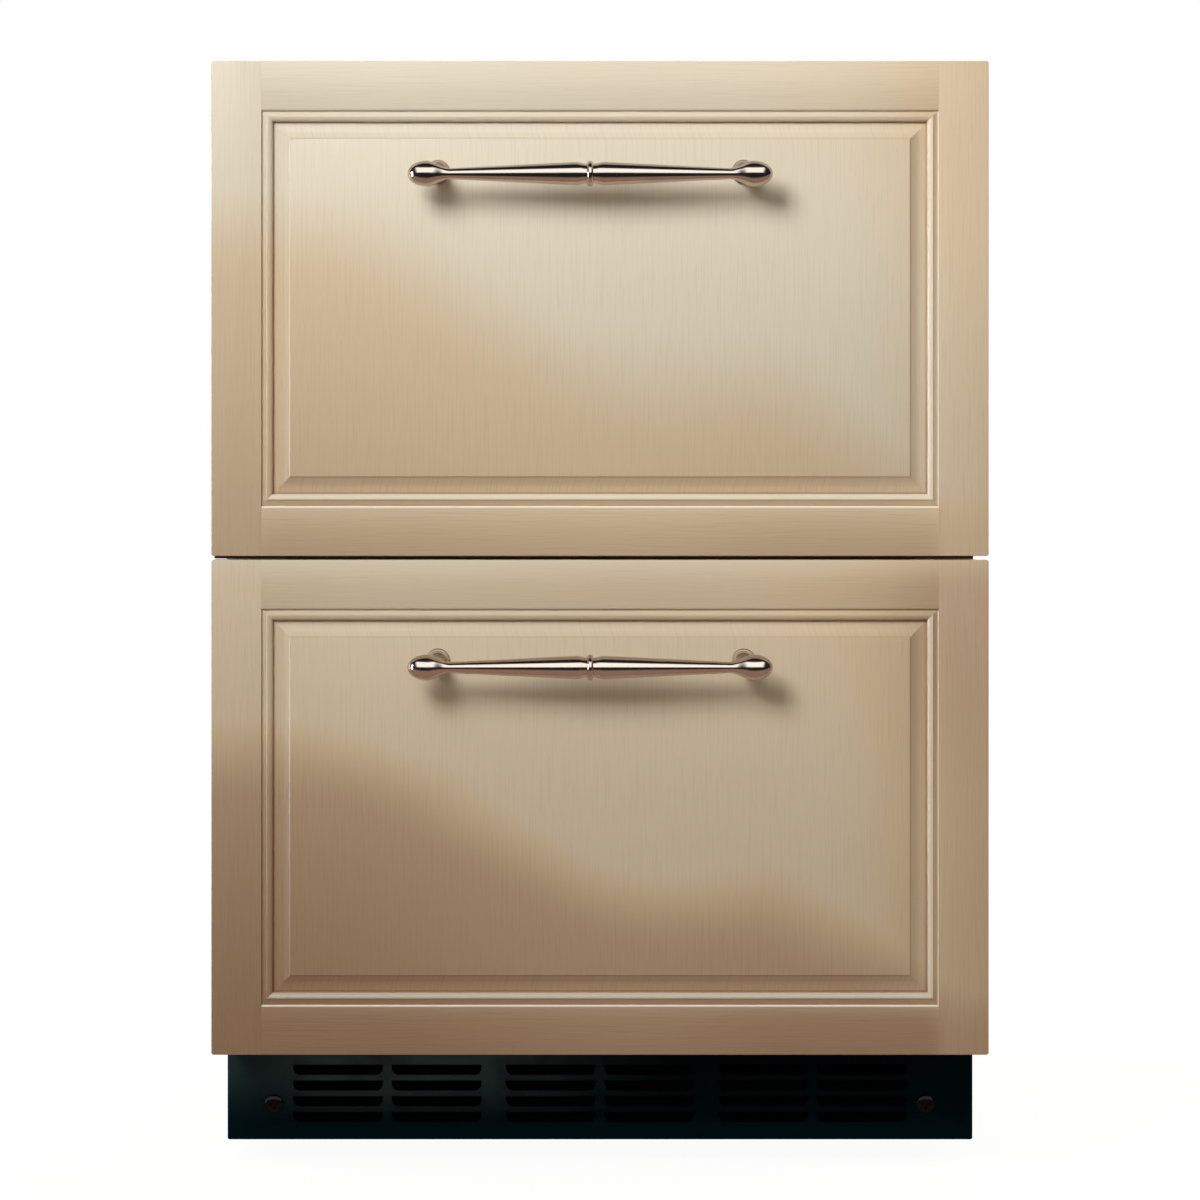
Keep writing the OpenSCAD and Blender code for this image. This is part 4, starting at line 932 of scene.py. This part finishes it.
def post_profile(flange, reach):
    """(distance from the field, radius) of a post: foot flange, collar, cove and shank."""
    thick, rim = 0.0016, 0.0009
    collar_end, collar, shank, tip = 0.0036, 0.0076, 0.0057, 0.0046
    cove_run, cove_drop, step = 0.0014, 0.0012, 0.0002
    profile = [(0.0, 0.0), (0.0, flange), (thick, flange)]
    profile += arc(thick, flange - rim, rim, rim, 90, 0, 4)
    profile += [(thick + rim + step, collar + step), (collar_end, collar)]
    profile += arc(collar_end + cove_run, collar, cove_run, cove_drop, 180, 270, 4)
    return profile + [(reach * 0.45, shank), (reach - 0.004, tip), (reach - 0.002, 0.0)]


def build_handle(drawer, s):
    """The turned bar of one drawer, with its two posts and foot flanges."""
    lo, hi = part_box(drawer + "_handle_bar")
    y, z, left = (lo.y + hi.y) / 2, (lo.z + hi.z) / 2, lo.x + s.trim_left
    bm = new_bmesh()
    turned(bm, bar_profile(s, hi.x - s.trim_right - left),
           lambda d, u, v: Vector((left + d, y + u, z + v)), 80)
    nickel = finish("satin_nickel")
    seat(object_from(bm, drawer + "_bar", nickel, 38), drawer + "_drawer",
         "satin_nickel", drawer + "_handle_bar")
    posts_lo, posts_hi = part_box(drawer + "_handle_posts")
    foot_z = posts_lo.z + s.foot_radius
    face = FRONT_LO.y + bpy.context.scene.fridge_fronts.field_set
    reach = face - y
    bm = new_bmesh()
    for x in (posts_lo.x + s.foot_radius, posts_hi.x - s.foot_radius):
        def place(d, u, v, x=x):
            return Vector((x + u, face - d, foot_z + (z - foot_z) * d / reach + v))
        turned(bm, post_profile(s.foot_radius, reach), place, 48)
    seat(object_from(bm, drawer + "_posts", nickel, 38), drawer + "_drawer",
         "satin_nickel", drawer + "_handle_posts")


# ---- Toe-kick and screws ----

def louvre_outline(cx, cz, width, height):
    """Straight top edge, ends that curve in to a shorter lower edge."""
    half, r = width / 2, height * 0.65
    left = arc(cx - half + r, cz - height / 2 + r, r, r, 180, 270, 6)
    right = arc(cx + half - r, cz - height / 2 + r, r, r, 270, 360, 6)
    return [(cx - half, cz + height / 2)] + left + right + [(cx + half, cz + height / 2)]


def circle(cx, cz, r, steps=20):
    """Points of a round hole."""
    return [(cx + r * math.cos(2 * math.pi * i / steps),
             cz + r * math.sin(2 * math.pi * i / steps)) for i in range(steps)]


def rectangle(x0, z0, x1, z1):
    """Corners of a rectangle."""
    return [(x0, z0), (x1, z0), (x1, z1), (x0, z1)]


def blade_outline(y, top):
    """A curved louvre blade from its end: its face, then its back."""
    reach, rise, below = 0.0052, 0.0078, 0.0075
    thick_y, thick_z = 0.0007, 0.0006
    face = arc(y, top - below, reach, rise, 90, -15, 9)
    return face + [(b - thick_y, c - thick_z) for b, c in reversed(face)]


def build_kick(s):
    """Punched toe-kick sheet with a curved blade behind each louvre."""
    lo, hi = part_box("toe_kick")
    sheet, ease, screw_hole = 0.002, 0.0003, 0.0022
    columns = [pair * s.pair_pitch + side * s.pair_step / 2
               for pair in (-1, 0, 1) for side in (-1, 1)]
    holes = [louvre_outline(x, lo.z + s.low_row + row * s.row_pitch, s.louvre_width,
                            s.louvre_height)
             for x in columns for row in range(s.rows)]
    holes += [circle(side * s.screw_side, lo.z + s.screw_rise, screw_hole)
              for side in (-1, 1)]
    black = finish("black_kick")
    r = s.corner
    outline = arc(lo.x + r, lo.z + r, r, r, 180, 270, 4)
    outline += arc(hi.x - r, lo.z + r, r, r, 270, 360, 4) + [(hi.x, hi.z), (lo.x, hi.z)]
    panel = punched_sheet("kick_panel", outline, holes,
                          lambda x, z, d: Vector((x, lo.y + sheet / 2 - d, z)),
                          sheet, ease, black)
    seat(panel, "cabinet", "black_kick", "toe_kick")
    overlap, end = 0.0004, 0.004
    half = s.louvre_width / 2 + overlap
    outline = blade_outline(lo.y + sheet / 2, s.louvre_height / 2)
    bm = new_bmesh()
    skin(bm, [[Vector((x, y, z)) for y, z in outline]
              for x in (-half, -half + end, half - end, half)], caps=(True, True))
    start = (-s.pair_pitch - s.pair_step / 2, 0.0, lo.z + s.low_row)
    blades = in_rows(bm, "kick_blades", black, start,
                     ((3, (s.pair_pitch, 0, 0)), (2, (s.pair_step, 0, 0)),
                      (s.rows, (0, 0, s.row_pitch))))
    seat(blades, "cabinet", "black_kick")


def screw_head(radius, height, facing):
    """A domed head with a cross recess, its seat at the origin, facing -Y or +Y."""
    bm = new_bmesh()
    rim = height * 0.25
    profile = [(0.0, 0.0), (0.0, radius * 0.96), (rim, radius)]
    profile += [(rim + h, r) for r, h in arc(0.0, 0.0, radius, height - rim, 8, 90, 9)]
    turned(bm, profile, lambda d, u, v: Vector((u, facing * d, v)), 40)
    head = object_from(bm, "head", None)
    cutters = []
    for turn in (0, 1):
        bm = new_bmesh()
        rings = []
        for depth, share in ((0.30, 0.35), (1.4, 0.62)):
            a, b = radius * share, radius * 0.085 * (1 + share)
            if turn:
                a, b = b, a
            rings.append([Vector((x, facing * height * depth, z)) for x, z in
                          ((-a, -b), (a, -b), (a, b), (-a, b))])
        skin(bm, rings, caps=(True, True))
        cutter = object_from(bm, "cutter", None)
        cutters.append(cutter)
        cut = head.modifiers.new("recess", "BOOLEAN")
        cut.object = cutter
        cut.solver = "EXACT"
    made = flattened(head, "head")
    bm = new_bmesh()
    bm.from_mesh(made.data)
    for obj in cutters + [made]:
        bpy.data.objects.remove(obj)
    return bm


def build_screws(s):
    """Toe-kick screws, rear cover screws and the rivets around the back."""
    kick_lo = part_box("toe_kick")[0]
    front = in_rows(screw_head(0.0073, 0.0024, -1), "kick_screws", finish("black_screw"),
                    (-s.screw_side, kick_lo.y, kick_lo.z + s.screw_rise),
                    ((2, (2 * s.screw_side, 0, 0)),))
    seat(front, "cabinet", "screw_steel", "cover_screws")
    steel = finish("screw_steel")
    cover_lo, cover_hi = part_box("machine_cover")
    inset_x, inset_z = 0.0235, 0.012
    x, z = cover_hi.x - inset_x, cover_lo.z + inset_z
    rear = in_rows(screw_head(0.0045, 0.002, 1), "cover_screws_rear", steel,
                   (-x, cover_hi.y, z),
                   ((3, (x, 0, 0)), (2, (0, 0, cover_hi.z - inset_z - z))))
    seat(rear, "cabinet", "screw_steel")
    back_lo, back_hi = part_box("back_panel")
    radius, height, inset, rows = 0.003, 0.0011, 0.012, 7
    bm = new_bmesh()
    profile = [(0.0, radius)] + [(h, r) for r, h in arc(0, 0, radius, height, 5, 90, 4)]
    turned(bm, profile, lambda d, u, v: Vector((u, d, v)), 16)
    x, rise = back_hi.x - inset, back_hi.z - back_lo.z - 2 * inset
    rivets = in_rows(bm, "back_rivets", steel, (-x, back_hi.y, back_lo.z + inset),
                     ((2, (2 * x, 0, 0)), (rows, (0, 0, rise / (rows - 1)))))
    seat(rivets, "cabinet", "screw_steel")


# ---- Cabinet ----

def build_cover():
    """Rear cover with vents around the power inlet."""
    lo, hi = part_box("machine_cover")
    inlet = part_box("power_inlet")
    mid = (inlet[0] + inlet[1]) / 2
    starts, rows, pitch = (-0.210, 0.120), 7, 0.012
    low, slot, r = 0.120, 0.090, 0.0025
    half_width, half_height = 0.0138, 0.0103
    holes = []
    for x0 in starts:
        for row in range(rows):
            z = low + row * pitch + r
            holes.append(arc(x0 + r, z, r, r, 270, 90, 6)
                         + arc(x0 + slot - r, z, r, r, 90, -90, 6))
    holes.append(rectangle(mid.x - half_width, mid.z - half_height,
                           mid.x + half_width, mid.z + half_height))
    sheet = hi.y - lo.y
    cover = punched_sheet("rear_cover", rectangle(lo.x, lo.z, hi.x, hi.z), holes,
                          lambda x, z, d: Vector((x, (lo.y + hi.y) / 2 - d, z)),
                          sheet, 0.0002, finish("galvanised_sheet"))
    seat(cover, "cabinet", "galvanised_sheet", "machine_cover")


def hexagon_rings(cx, cy, z0, z1, radius):
    """Rings of a hexagon with chamfered ends."""
    end, chamfer = radius * 0.9, 0.0006
    rings = []
    for z, r in ((z0, end), (z0 + chamfer, radius), (z1 - chamfer, radius), (z1, end)):
        rings.append([Vector((cx + r * math.cos(math.pi * i / 3),
                              cy + r * math.sin(math.pi * i / 3), z)) for i in range(6)])
    return rings


def thread_rings(cx, cy, z0, z1, pitch):
    """Rings of a threaded stud whose thread runs out at both ends."""
    radius, depth, segments, steps = 0.005, 0.00065, 24, 6
    count = int((z1 - z0) / pitch * steps)
    rings = []
    for i in range(count + 1):
        z = z0 + (z1 - z0) * i / count
        end = min(1.0, min(i, count - i) / (2.0 * steps))
        ring = []
        for j in range(segments):
            phase = ((z - z0) / pitch - j / segments) % 1.0
            r = radius - depth * (abs(2 * phase - 1) * end + (1 - end))
            a = 2 * math.pi * j / segments
            ring.append(Vector((cx + r * math.cos(a), cy + r * math.sin(a), z)))
        rings.append(ring)
    return rings


def build_legs(s):
    """Threaded studs with a hexagon for a spanner, one for each foot."""
    hex_low, hex_high, hex_radius = 0.0093, 0.0143, 0.009
    for place in ("front_left", "front_right", "rear_left", "rear_right"):
        node = "leg_stud_" + place
        lo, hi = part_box(node)
        mid = (lo + hi) / 2
        bm = new_bmesh()
        skin(bm, thread_rings(mid.x, mid.y, lo.z, hi.z, s.thread_pitch), caps=(True, True))
        skin(bm, hexagon_rings(mid.x, mid.y, lo.z + hex_low, lo.z + hex_high, hex_radius),
             caps=(True, True))
        seat(object_from(bm, "thread_" + place, finish("screw_steel"), 50), node,
             "screw_steel", node)


# ---- Drawers ----

def round_ring(half, y0, y1, radius, z, steps=7):
    """A rectangle with round corners at height z."""
    points = []
    for cx, cy, start in ((half - radius, y0 + radius, -90), (half - radius, y1 - radius, 0),
                          (radius - half, y1 - radius, 90), (radius - half, y0 + radius, 180)):
        points += [Vector((x, y, z)) for x, y in
                   arc(cx, cy, radius, radius, start, start + 90, steps)]
    return points


def build_bin(drawer, s):
    """A clear bin with a filleted floor and a turned-down rim."""
    lo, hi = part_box(drawer + "_bin")
    rim, wall, fillet, skirt = s.bin_rim, s.bin_wall, 0.012, 0.009
    half, y0, y1 = hi.x - rim, lo.y + rim, hi.y - rim
    quarter = [math.radians(15 * i) for i in range(7)]
    outside = [(fillet * (1 - math.sin(a)), lo.z + fillet * (1 - math.cos(a)))
               for a in quarter]
    outside += [(0.0, hi.z - 0.0032), (-rim + 0.0022, hi.z - 0.0026),
                (-rim + 0.0018, hi.z - skirt), (-rim, hi.z - skirt),
                (-rim, hi.z - 0.0015), (-rim + 0.0012, hi.z)]
    small = fillet - wall
    inside = [(wall - 0.0006, hi.z), (wall, hi.z - 0.0008)]
    inside += [(wall + small * (1 - math.sin(a)), lo.z + wall + small * (1 - math.cos(a)))
               for a in reversed(quarter)]
    rings = [round_ring(half - inset, y0 + inset, y1 - inset,
                        max(0.003, s.bin_round - inset), z) for inset, z in outside + inside]
    bm = new_bmesh()
    skin(bm, rings, caps=(True, True))
    seat(object_from(bm, drawer + "_clear_bin", finish("clear_bin"), 40),
         drawer + "_drawer", "clear_bin", drawer + "_bin")


def build_gasket(drawer):
    """A seal with folded sides, mitred at its corners."""
    lo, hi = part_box(drawer + "_gasket")
    depth, width = hi.y - lo.y, 0.010
    side = [(0.05, 0.0), (0.0, 0.14), (0.13, 0.30), (0.03, 0.46), (0.16, 0.62), (0.05, 0.82),
            (0.16, 1.0)]
    outline = side + [(1 - u, v) for u, v in reversed(side)]
    rings = []
    for u, v in outline + outline[:1]:
        corners = [inset_corner(k, u * width, lo.z, hi.z, hi.x) for k in range(4)]
        rings.append([Vector((x, lo.y + v * depth, z)) for x, z in corners])
    bm = new_bmesh()
    skin(bm, rings)
    seal = object_from(bm, drawer + "_seal", finish("seal_rubber"), 60)
    seat(sharpen_mitres(seal), drawer + "_drawer", "seal_rubber", drawer + "_gasket")


def build_balls(drawer, s):
    """Rows of balls in the middle members of both slides."""
    lo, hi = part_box(drawer + "_slide_middles")
    end, inset_x, inset_z = 0.010, 0.0055, 0.0023
    count = int((hi.y - lo.y - 2 * end) / s.ball_pitch)
    bm = new_bmesh()
    bmesh.ops.create_icosphere(bm, subdivisions=1, radius=s.ball_radius)
    x, rise = hi.x - inset_x, hi.z - lo.z - 2 * inset_z
    balls = in_rows(bm, drawer + "_balls", finish("screw_steel"),
                    (-x, lo.y + end, lo.z + inset_z),
                    ((2, (2 * x, 0, 0)), (2, (0, 0, rise)), (count, (0, s.ball_pitch, 0))),
                    180)
    seat(balls, drawer + "_slide", "screw_steel")


def dress_nodes():
    """Gives every CAD node that stays the finish of its slot."""
    for name, obj in frame["nodes"].items():
        material = finish(SLOT_OF[name])
        if not obj.material_slots:
            obj.data.materials.append(material)
        for slot in obj.material_slots:
            slot.material = material


# ---- Stage ----

def build_camera(s):
    """A level camera in front of the fronts, its lens shifted down."""
    data = bpy.data.cameras.new("camera")
    data.lens, data.sensor_width, data.shift_y = s.lens, 36.0, s.shift
    camera = bpy.data.objects.new("camera", data)
    camera.location = (0.0, FRONT_LO.y - s.distance, s.height)
    camera.rotation_euler = (math.pi / 2, 0.0, 0.0)
    bpy.context.scene.collection.objects.link(camera)
    bpy.context.scene.camera = camera


def lamp(name, place, aim, size, power):
    """A soft area lamp that the camera doesn't see."""
    data = bpy.data.lights.new(name, "AREA")
    data.shape = "RECTANGLE"
    data.size, data.size_y = size
    data.energy = power
    obj = bpy.data.objects.new(name, data)
    obj.location = place
    obj.rotation_euler = (Vector(aim) - Vector(place)).to_track_quat("-Z", "Y").to_euler()
    obj.visible_camera = False
    bpy.context.scene.collection.objects.link(obj)
    return obj


def build_world(s):
    """White to the camera, plain dim light to surfaces, a dark room with a softbox to gloss."""
    world = bpy.data.worlds.new("studio")
    bpy.context.scene.world = world
    world.use_nodes = True
    f = Nodes(world.node_tree)
    camera, shown = f.rays()
    x, y, z = f.split(f.node("ShaderNodeTexCoord").outputs["Generated"])
    softbox = f.product(f.between(z, 0.06, 0.16), f.between(z, 0.82, 0.72),
                        f.between(y, -0.15, -0.35),
                        f.between(f.math("ABSOLUTE", x), 0.8, 0.6, 0.0, s.softbox))
    behind = f.between(y, 0.12, 0.24, 0.0, 0.55)
    lit = f.math("MAXIMUM", camera, f.math("MAXIMUM", softbox, behind), clamp=True)
    plain, white = f.node("ShaderNodeBackground"), f.node("ShaderNodeBackground")
    f.put(plain, "Color", (1.0, 0.84, 0.66, 1.0))
    f.put(plain, "Strength", s.fill)
    f.put(white, "Color", f.mix(lit, s.room, (1.0, 1.0, 1.0)))
    f.put(white, "Strength", f.math("MAXIMUM", 1.0, softbox))
    mixed = f.blend_shaders(f.math("ADD", camera, shown, clamp=True), plain.outputs[0],
                            white.outputs[0])
    f.put(f.node("ShaderNodeOutputWorld"), 0, mixed)


def build_floor(s):
    """A wide pale floor that keeps the object's shadow and turns white far away."""
    bm = new_bmesh()
    turned(bm, [(0.0, 0.0), (0.0, 0.6), (0.0, 2.0), (0.0, 9.0)],
           lambda d, u, v: Vector((u, v, 0.0)), 48)
    material = bpy.data.materials.new("floor")
    material.use_nodes = True
    f = Nodes(material.node_tree)
    camera, shown = f.rays()
    where = f.node("ShaderNodeTexCoord").outputs["Object"]
    far = f.node("ShaderNodeVectorMath", operation="LENGTH")
    f.put(far, 0, where)
    y = f.split(where)[1]
    ramp = f.between(far.outputs["Value"], 0.5, 1.7, 0.93, 1.0)
    share = f.math("MAXIMUM", f.product(camera, ramp), shown)
    in_gloss = f.mix(f.between(y, -0.85, -1.4), s.warm, s.room)
    in_gloss = f.mix(f.between(y, 0.3, 0.8), in_gloss, (1.0, 1.0, 1.0))
    matt, glow = f.node("ShaderNodeBsdfDiffuse"), f.node("ShaderNodeEmission")
    f.put(matt, "Color", f.mix(camera, s.bounce, s.floor))
    f.put(glow, "Color", f.mix(camera, in_gloss, (1.0, 1.0, 1.0)))
    f.put(glow, "Strength", 1.03)
    f.put(f.node("ShaderNodeOutputMaterial"), "Surface",
          f.blend_shaders(share, matt.outputs[0], glow.outputs[0]))
    object_from(bm, "floor", material)


def build_lamps(s):
    """Key lamp above left, and soft fill from the sides, behind and above."""
    key = lamp("key", (-0.88, -1.95, 1.84), (0.36, FRONT_LO.y, 1.05), (0.95, 0.95), s.key)
    key.data.spread = s.spread
    key.visible_glossy = False
    middle = (0.0, 0.0, 0.45)
    glint = lamp("glint", (-2.2, -0.75, 0.5), (0.0, FRONT_LO.y, 0.5), (0.3, 1.4), s.glint)
    glint.visible_diffuse = False
    for name, place, size, power in (("right", (2.3, 0.6, 1.1), 1.4, 16.0),
                                     ("left", (-2.3, 0.6, 1.1), 1.4, 16.0),
                                     ("rear", (0.6, 2.6, 1.3), 1.6, 26.0),
                                     ("top", (0.0, 0.5, 2.6), 1.6, 12.0)):
        lamp(name, place, middle, (size, size), power).visible_glossy = name == "rear"


# ---- Operators ----

class FRIDGE_OT_stage(bpy.types.Operator):
    """Make the camera, the lamps, the surroundings and the floor"""
    bl_idname = "fridge.stage"
    bl_label = "Stage"

    def execute(self, context):
        stage = context.scene.fridge_stage
        context.scene.view_settings.view_transform = "Standard"
        build_camera(stage)
        build_world(stage)
        build_floor(stage)
        build_lamps(stage)
        return {"FINISHED"}


class FRIDGE_OT_finishes(bpy.types.Operator):
    """Make the finishes and put them on the CAD nodes that stay"""
    bl_idname = "fridge.finishes"
    bl_label = "Finishes"

    def execute(self, context):
        dress_nodes()
        return {"FINISHED"}


class FRIDGE_OT_fronts(bpy.types.Operator):
    """Build both framed fronts"""
    bl_idname = "fridge.fronts"
    bl_label = "Fronts"

    def execute(self, context):
        for drawer in DRAWERS:
            build_front(drawer, context.scene.fridge_fronts)
        build_gap_shade_strip(context.scene.fridge_fronts)
        return {"FINISHED"}


class FRIDGE_OT_handles(bpy.types.Operator):
    """Build both bar handles with their posts"""
    bl_idname = "fridge.handles"
    bl_label = "Handles"

    def execute(self, context):
        for drawer in DRAWERS:
            build_handle(drawer, context.scene.fridge_handles)
        return {"FINISHED"}


class FRIDGE_OT_kick(bpy.types.Operator):
    """Build the louvred toe-kick and all visible screws and rivets"""
    bl_idname = "fridge.kick"
    bl_label = "Toe-kick and screws"

    def execute(self, context):
        build_kick(context.scene.fridge_kick)
        build_screws(context.scene.fridge_kick)
        return {"FINISHED"}


class FRIDGE_OT_cabinet(bpy.types.Operator):
    """Build the rear cover and the threaded legs"""
    bl_idname = "fridge.cabinet"
    bl_label = "Rear cover and legs"

    def execute(self, context):
        build_cover()
        build_legs(context.scene.fridge_inside)
        return {"FINISHED"}


class FRIDGE_OT_drawers(bpy.types.Operator):
    """Build the bins, the seals and the slides' balls"""
    bl_idname = "fridge.drawers"
    bl_label = "Drawer insides"

    def execute(self, context):
        inside = context.scene.fridge_inside
        for drawer in DRAWERS:
            build_bin(drawer, inside)
            build_gasket(drawer)
            build_balls(drawer, inside)
        return {"FINISHED"}


class FRIDGE_PT_sidebar(bpy.types.Panel):
    """Lists the steps that build the refrigerator"""
    bl_idname = "FRIDGE_PT_sidebar"
    bl_label = "Refrigerator"
    bl_space_type = "VIEW_3D"
    bl_region_type = "UI"
    bl_category = "Refrigerator"

    def draw(self, context):
        for step in STEPS:
            self.layout.operator(step.bl_idname)
        for key, group in SETTINGS.items():
            box = self.layout.box()
            for name in group.__annotations__:
                box.prop(getattr(context.scene, key), name)


STEPS = (FRIDGE_OT_stage, FRIDGE_OT_finishes, FRIDGE_OT_fronts, FRIDGE_OT_handles,
         FRIDGE_OT_kick, FRIDGE_OT_cabinet, FRIDGE_OT_drawers)
SETTINGS = {"fridge_stage": StageSettings, "fridge_fronts": FrontSettings,
            "fridge_handles": HandleSettings, "fridge_kick": KickSettings,
            "fridge_inside": InsideSettings}


def register():
    """Registers the settings, the steps and the panel."""
    for group in SETTINGS.values():
        bpy.utils.register_class(group)
    for key, group in SETTINGS.items():
        setattr(bpy.types.Scene, key, PointerProperty(type=group))
    for step in STEPS + (FRIDGE_PT_sidebar,):
        bpy.utils.register_class(step)


def unregister():
    """Takes away what register added."""
    for step in STEPS + (FRIDGE_PT_sidebar,):
        bpy.utils.unregister_class(step)
    for key, group in SETTINGS.items():
        delattr(bpy.types.Scene, key)
        bpy.utils.unregister_class(group)


def main():
    """Runs every step in order."""
    register()
    bpy.ops.fridge.stage()
    bpy.ops.fridge.finishes()
    bpy.ops.fridge.fronts()
    bpy.ops.fridge.handles()
    bpy.ops.fridge.kick()
    bpy.ops.fridge.cabinet()
    bpy.ops.fridge.drawers()


if __name__ == "__main__":
    main()
